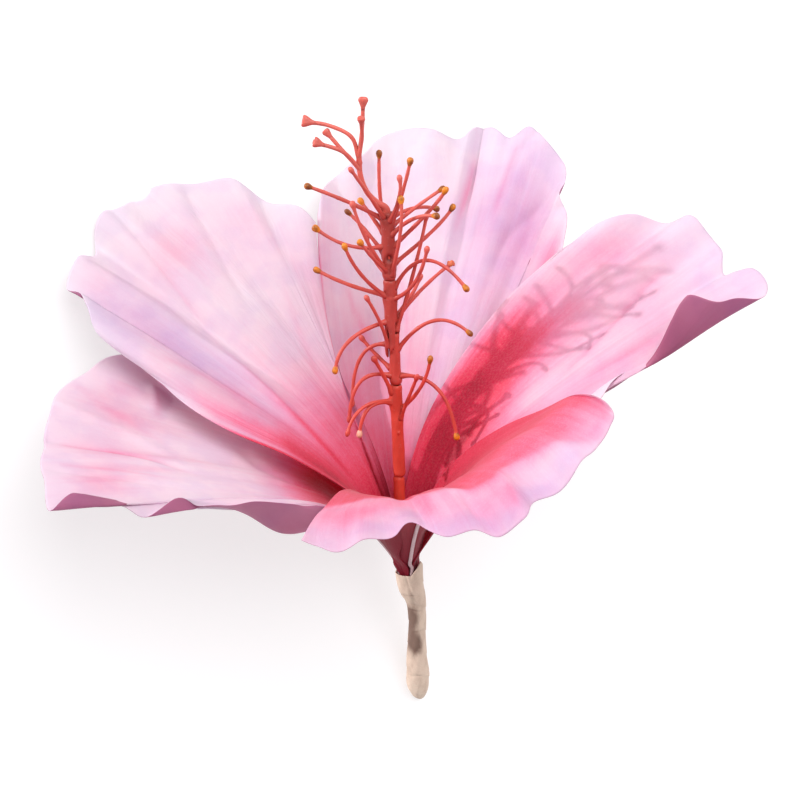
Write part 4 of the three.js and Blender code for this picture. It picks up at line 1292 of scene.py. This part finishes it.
def makePistil():
    shape = Shape("paint", "warm", "deep")
    foot = columnCentre(pistil["foot"])
    line = smoothLine([tuple(foot)] + pistil["style"], pistil["curveSteps"])
    lengths = np.linspace(0, lengthsOf(line)[-1], pistil["styleRings"])
    share = lengths / lengths[-1]
    thick, slim = pistil["styleRadius"]
    fork, forkPlace, forkWidth = pistil["styleFork"]
    narrowed, narrowFrom = pistil["styleEnd"]
    dark, darkFade = pistil["styleShade"]
    radius = thick + (slim - thick) * smooth(share, *pistil["styleSlims"])
    radius = radius + fork * bell(share - forkPlace, forkWidth) - narrowed * smooth(share, narrowFrom, 1)
    shape.add(sweep(atLengths(line, lengths), radius, pistil["sides"]), warm=pistil["warm"]["style"],
              deep=dark * np.exp(-share * darkFade))
    flare, flareLength = pistil["branchRoot"]
    swell, pace = pistil["branchSway"]
    for points, halfWidth, halfDepth, length, lobes in pistil["branches"]:
        line = smoothLine(points, pistil["curveSteps"])
        end = lengthsOf(line)[-1] - pistil["branchIntoPad"] * length
        lengths = np.linspace(0, end, pistil["branchRings"])
        radius = pistil["branchRadius"] * (1 + flare * np.exp(-lengths / flareLength))
        radius = radius * (1 + swell * np.sin(pace * lengths))
        shape.add(sweep(atLengths(line, lengths), radius, pistil["sides"]), warm=pistil["warm"]["branch"])
        addPad(shape, line, halfWidth, halfDepth, length, lobes)
    shape.make("pistil_moulded", mouldedPlastic, "pistil")


makePistil()
print("pistil made:", len(pistil["branches"]), "branches")


# Floral tape wound round the stem, its loose end standing up at the right

def makeTapeMaterial():
    n = Nodes("floral_tape")
    along, around, soilAndShade = n.number("along"), n.number("around"), n.number("soilAndShade")
    crepe, blotch, fibre = (n.grained(around, along, *tape[key]) for key in ("crepe", "blotch", "fibre"))
    color = n.mixed(n.between(blotch, *tape["blotchShade"]), paint(tape["cream"]), paint(tape["shade"]))
    color = n.mixed(n.between(crepe, *tape["crepeShows"]), color, paint(tape["crepeLight"]))
    # the dark brown covers the patches, and as painted shade the creases and the inside of the mouth
    ragged = n.plus(soilAndShade, n.swung(blotch, tape["soilRaggedness"]))
    color = n.mixed(n.between(ragged, *tape["soilShows"]), color, paint(tape["soilAndShade"]))
    crepeRelief, fibreRelief = tape["relief"]
    height = n.plus(n.scaled(crepe, crepeRelief), n.scaled(fibre, fibreRelief))
    return n.finish(n.surface({
        "Base Color": color, "Roughness": tape["roughness"], "Specular IOR Level": tape["specular"],
        "Sheen Weight": tape["sheenWeight"], "Normal": n.bump(height, *tape["bump"]),
    }))


def makeTape():
    heights, across, radius = smoothLine(tape["outline"], tape["outlineSteps"]).T
    angle = anglesRound(tape["sides"])
    degrees = degreesFrom(0, angle)
    height = heights[:, None] + 0 * angle
    wrap = (height / tape["pitch"] + angle / (2 * np.pi)) % 1  # the tape's edge winds up the stem
    edge = smooth(wrap, 0, tape["wrapEdge"]) * (1 - wrap)**tape["wrapFade"]
    outer = radius[:, None] + tape["wrapStep"] * edge * smooth(height, *tape["wrapFrom"])
    soilAndShade = sum(amount * bell(height - place, tall) * bell(degrees - azimuth, wide)
               for place, tall, azimuth, wide, amount in tape["patches"])
    for place, azimuth, tilt, depth, wide in tape["creases"]:
        away = degreesFrom(azimuth, angle)
        line = bell(height - place - tilt * away, tape["creaseWidth"]) * bell(away, wide, 4)
        outer = outer - depth * line
        # painted shade along each crease
        soilAndShade = soilAndShade + tape["creaseShade"] * line
    flatter, foldFrom, foldTo = tape["foldedEnd"]
    outer = outer * (1 + flatter * np.sin(2 * angle + 1) * smooth(-height, foldFrom, foldTo))
    outer = outer + uneven(angle, height, tape["waves"])
    seam = tape["seam"]
    fromSeam = degrees - seam["azimuth"] + seam["slant"] * (height - seam["at"])
    outer = outer - seam["depth"] * bell(fromSeam, seam["width"]) * smooth(height, *seam["from"])
    lift = smooth(height, *tape["looseRise"]) * np.interp(degrees, *np.transpose(tape["looseEnd"]))
    centre = np.stack([across, 0 * across, heights], -1)
    around = spokes(angle)
    outside = (centre[:, None] + around * (outer + tape["looseLean"] * lift)[..., None]
               + upright * lift[..., None])
    mouth = slice(len(heights) - 1, int(len(heights) * tape["mouthShare"]), -1)
    thicker, depthFrom, depthTo = tape["wallBelow"]
    wall = tape["wall"] + thicker * smooth(-height[mouth], depthFrom, depthTo)
    inside = outside[mouth] - around * wall[..., None]
    fromRight = abs(degrees) / 57  # about the angle in radians, alike on both sides so that no seam shows
    shape = Shape("along", "around", "soilAndShade")
    # the inside of the mouth is painted dark brown, as shade
    shape.add(np.concatenate([outside, inside]), along=np.concatenate([height, height[mouth]]),
              soilAndShade=np.concatenate([soilAndShade, tape["mouthShade"] + 0 * soilAndShade[mouth]]),
              around=fromRight + 0 * np.concatenate([height, height[mouth]]))
    shape.make("stem_tape_wound", makeTapeMaterial(), "stem_tape")


makeTape()
print("stem tape made")


# Paper-covered wires along the backs of the petals, gathered inside the tape

wire = {
    "radius": 0.45,
    "along": (0.5, 72.1, 2.5),  # from, to and step along the petal
    "midrib": (0.3, 0.7, 81),  # the turns among which it is looked for
    "beside": 0.01,  # the turn that shows how the petal lies there
    "steps": 10,
    "rings": [(-8.2, 1.75), (-5.5, 2.0), (-3.1, 2.3), (-1, 2.6)],  # height, radius of the ring
    "sink": 0.06,  # how far a wire is pressed into its petal's back
    "narrowed": 0.35,
    "sides": 14,
    "spacing": 0.35,
    "paper": "#d9bcc0",
    "shade": "#a5737e",
    # over what range something goes from the one share to the other
    "stainShows": (0.35, 0.7, 0.0, 0.6),
    "edgeGrooveShade": (0.0, 0.12, 0.35, 0.0),  # painted shade along the wound paper's edge, in the groove it makes
    "edgeRelief": (0.0, 0.15),
    "fibreRelief": 0.3,
    "roughness": 0.6,
    "specular": 0.3,
    "winding": 0.9,  # turns of the paper per mm
    # patterns round and along the wire: two scales, detail, roughness
    "fibre": (20, 3, 3, 0.6),
    "stain": (1, 0.12, 3, 0.6),
    "bump": (0.45, 0.0002),
}


def makeWireMaterial():
    n = Nodes("covered_wire")
    along, around = n.number("along"), n.number("around")
    coil = n.combined("PINGPONG", n.plus(n.scaled(along, wire["winding"]), around), 0.5)
    fibre, stain = (n.grained(around, along, *wire[key]) for key in ("fibre", "stain"))
    shade = paint(wire["shade"])
    color = n.mixed(n.between(stain, *wire["stainShows"]), paint(wire["paper"]), shade)
    # painted shade along the paper's wound edge
    color = n.mixed(n.between(coil, *wire["edgeGrooveShade"]), color, shade)
    height = n.plus(n.between(coil, *wire["edgeRelief"]), n.scaled(fibre, wire["fibreRelief"]))
    return n.finish(n.surface({
        "Base Color": color, "Roughness": wire["roughness"], "Specular IOR Level": wire["specular"],
        "Normal": n.bump(height, *wire["bump"]),
    }))


wireCover = makeWireMaterial()


def makeWire(name, petal):
    azimuth = math.radians(petal["azimuth"])
    points = [(stemCentre(height) + ring * math.cos(azimuth), ring * math.sin(azimuth), height)
              for height, ring in wire["rings"]]
    turns = np.linspace(*wire["midrib"])
    rim = rimOf(petal, turns)
    middle = int(np.argmin(np.abs(rim[:, 0])))  # the midrib runs to the rim's middle
    turn, length = turns[middle], rim[middle, 1]
    reach = np.arange(*wire["along"]) / length
    grid = np.stack([petalPoints(petal, turn + side * wire["beside"] + 0 * reach, reach)[0]
                     for side in (-1, 0, 1)])
    normal = unit(np.cross(grid[2] - grid[0], np.gradient(grid[1], axis=0)))
    below = blade["thickness"] / 2 + wire["radius"] - wire["sink"]
    points += [tuple(point) for point in grid[1] - normal * below]
    line = smoothLine(points, wire["steps"])
    total = lengthsOf(line)[-1]
    lengths = np.arange(0, total, wire["spacing"])
    radius = wire["radius"] * (1 - wire["narrowed"] * smooth(lengths, total - 1, total))
    angle = anglesRound(wire["sides"])
    fromSeam = np.minimum(angle, 2 * np.pi - angle) / np.pi
    shape = Shape("along", "around")
    shape.add(sweep(atLengths(line, lengths), radius, wire["sides"]), along=lengths,
              around=0 * lengths[:, None] + fromSeam)
    node = name.replace("petal", "wire")
    shape.make(node + "_covered", wireCover, node)


for name, petal in petals.items():
    makeWire(name, petal)
print("wires made:", len(petals))


# Floor and light. The light comes from a place in the flower's own frame.

studio = {
    "floor": "#a9a7a9",
    "floorHalf": 3,
    "floorTone": 0.03,
    "floorGlow": 0.64,
    "floorRoughness": 0.9,
    "floorSpecular": 0.1,
    "suns": {
        "key": {"from": (-0.865, -0.144, 0.481), "power": 2.5, "softness": 1.4, "color": (1.0, 0.985, 0.96)},
        "front": {"from": (0.36, -0.58, 0.73), "power": 2.5, "softness": 55, "color": (1.0, 1.0, 1.0)},
    },
    "fill": 0.55,
}


def addSun(name, sun):
    lamp = bpy.data.lights.new(name, "SUN")
    lamp.energy = sun["power"]
    lamp.angle = math.radians(sun["softness"])
    lamp.color = sun["color"]
    holder = bpy.data.objects.new(name, lamp)
    toward = flowerPlace.to_3x3().normalized() @ Vector(sun["from"])
    holder.rotation_euler = toward.to_track_quat("Z", "Y").to_euler()
    bpy.context.scene.collection.objects.link(holder)


def makeFloorMaterial():
    n = Nodes("studio_floor")
    where = n.add("ShaderNodeTexCoord").outputs["Object"]
    tone = n.mixed(n.scaled(n.noise(where, 3.0), studio["floorTone"]), paint(studio["floor"]), white)
    return n.finish(n.surface({
        "Base Color": tone, "Roughness": studio["floorRoughness"],
        "Specular IOR Level": studio["floorSpecular"],
        "Emission Color": (1, 1, 1, 1), "Emission Strength": studio["floorGlow"],
    }))


def makeStudio():
    half = studio["floorHalf"]
    mesh = bpy.data.meshes.new("floor")
    mesh.from_pydata([(-half, -half, 0), (half, -half, 0), (half, half, 0), (-half, half, 0)], [],
                     [(0, 1, 2, 3)])
    mesh.materials.append(makeFloorMaterial())
    floor = bpy.data.objects.new("floor", mesh)
    bpy.context.scene.collection.objects.link(floor)
    for name, sun in studio["suns"].items():
        addSun(name, sun)
    world = bpy.data.worlds.new("studio")
    world.use_nodes = True
    backdrop = world.node_tree.nodes["Background"]
    backdrop.inputs["Color"].default_value = (1, 1, 1, 1)
    backdrop.inputs["Strength"].default_value = studio["fill"]
    bpy.context.scene.world = world
    bpy.context.scene.view_settings.view_transform = "Standard"


makeStudio()
print("floor and light set")
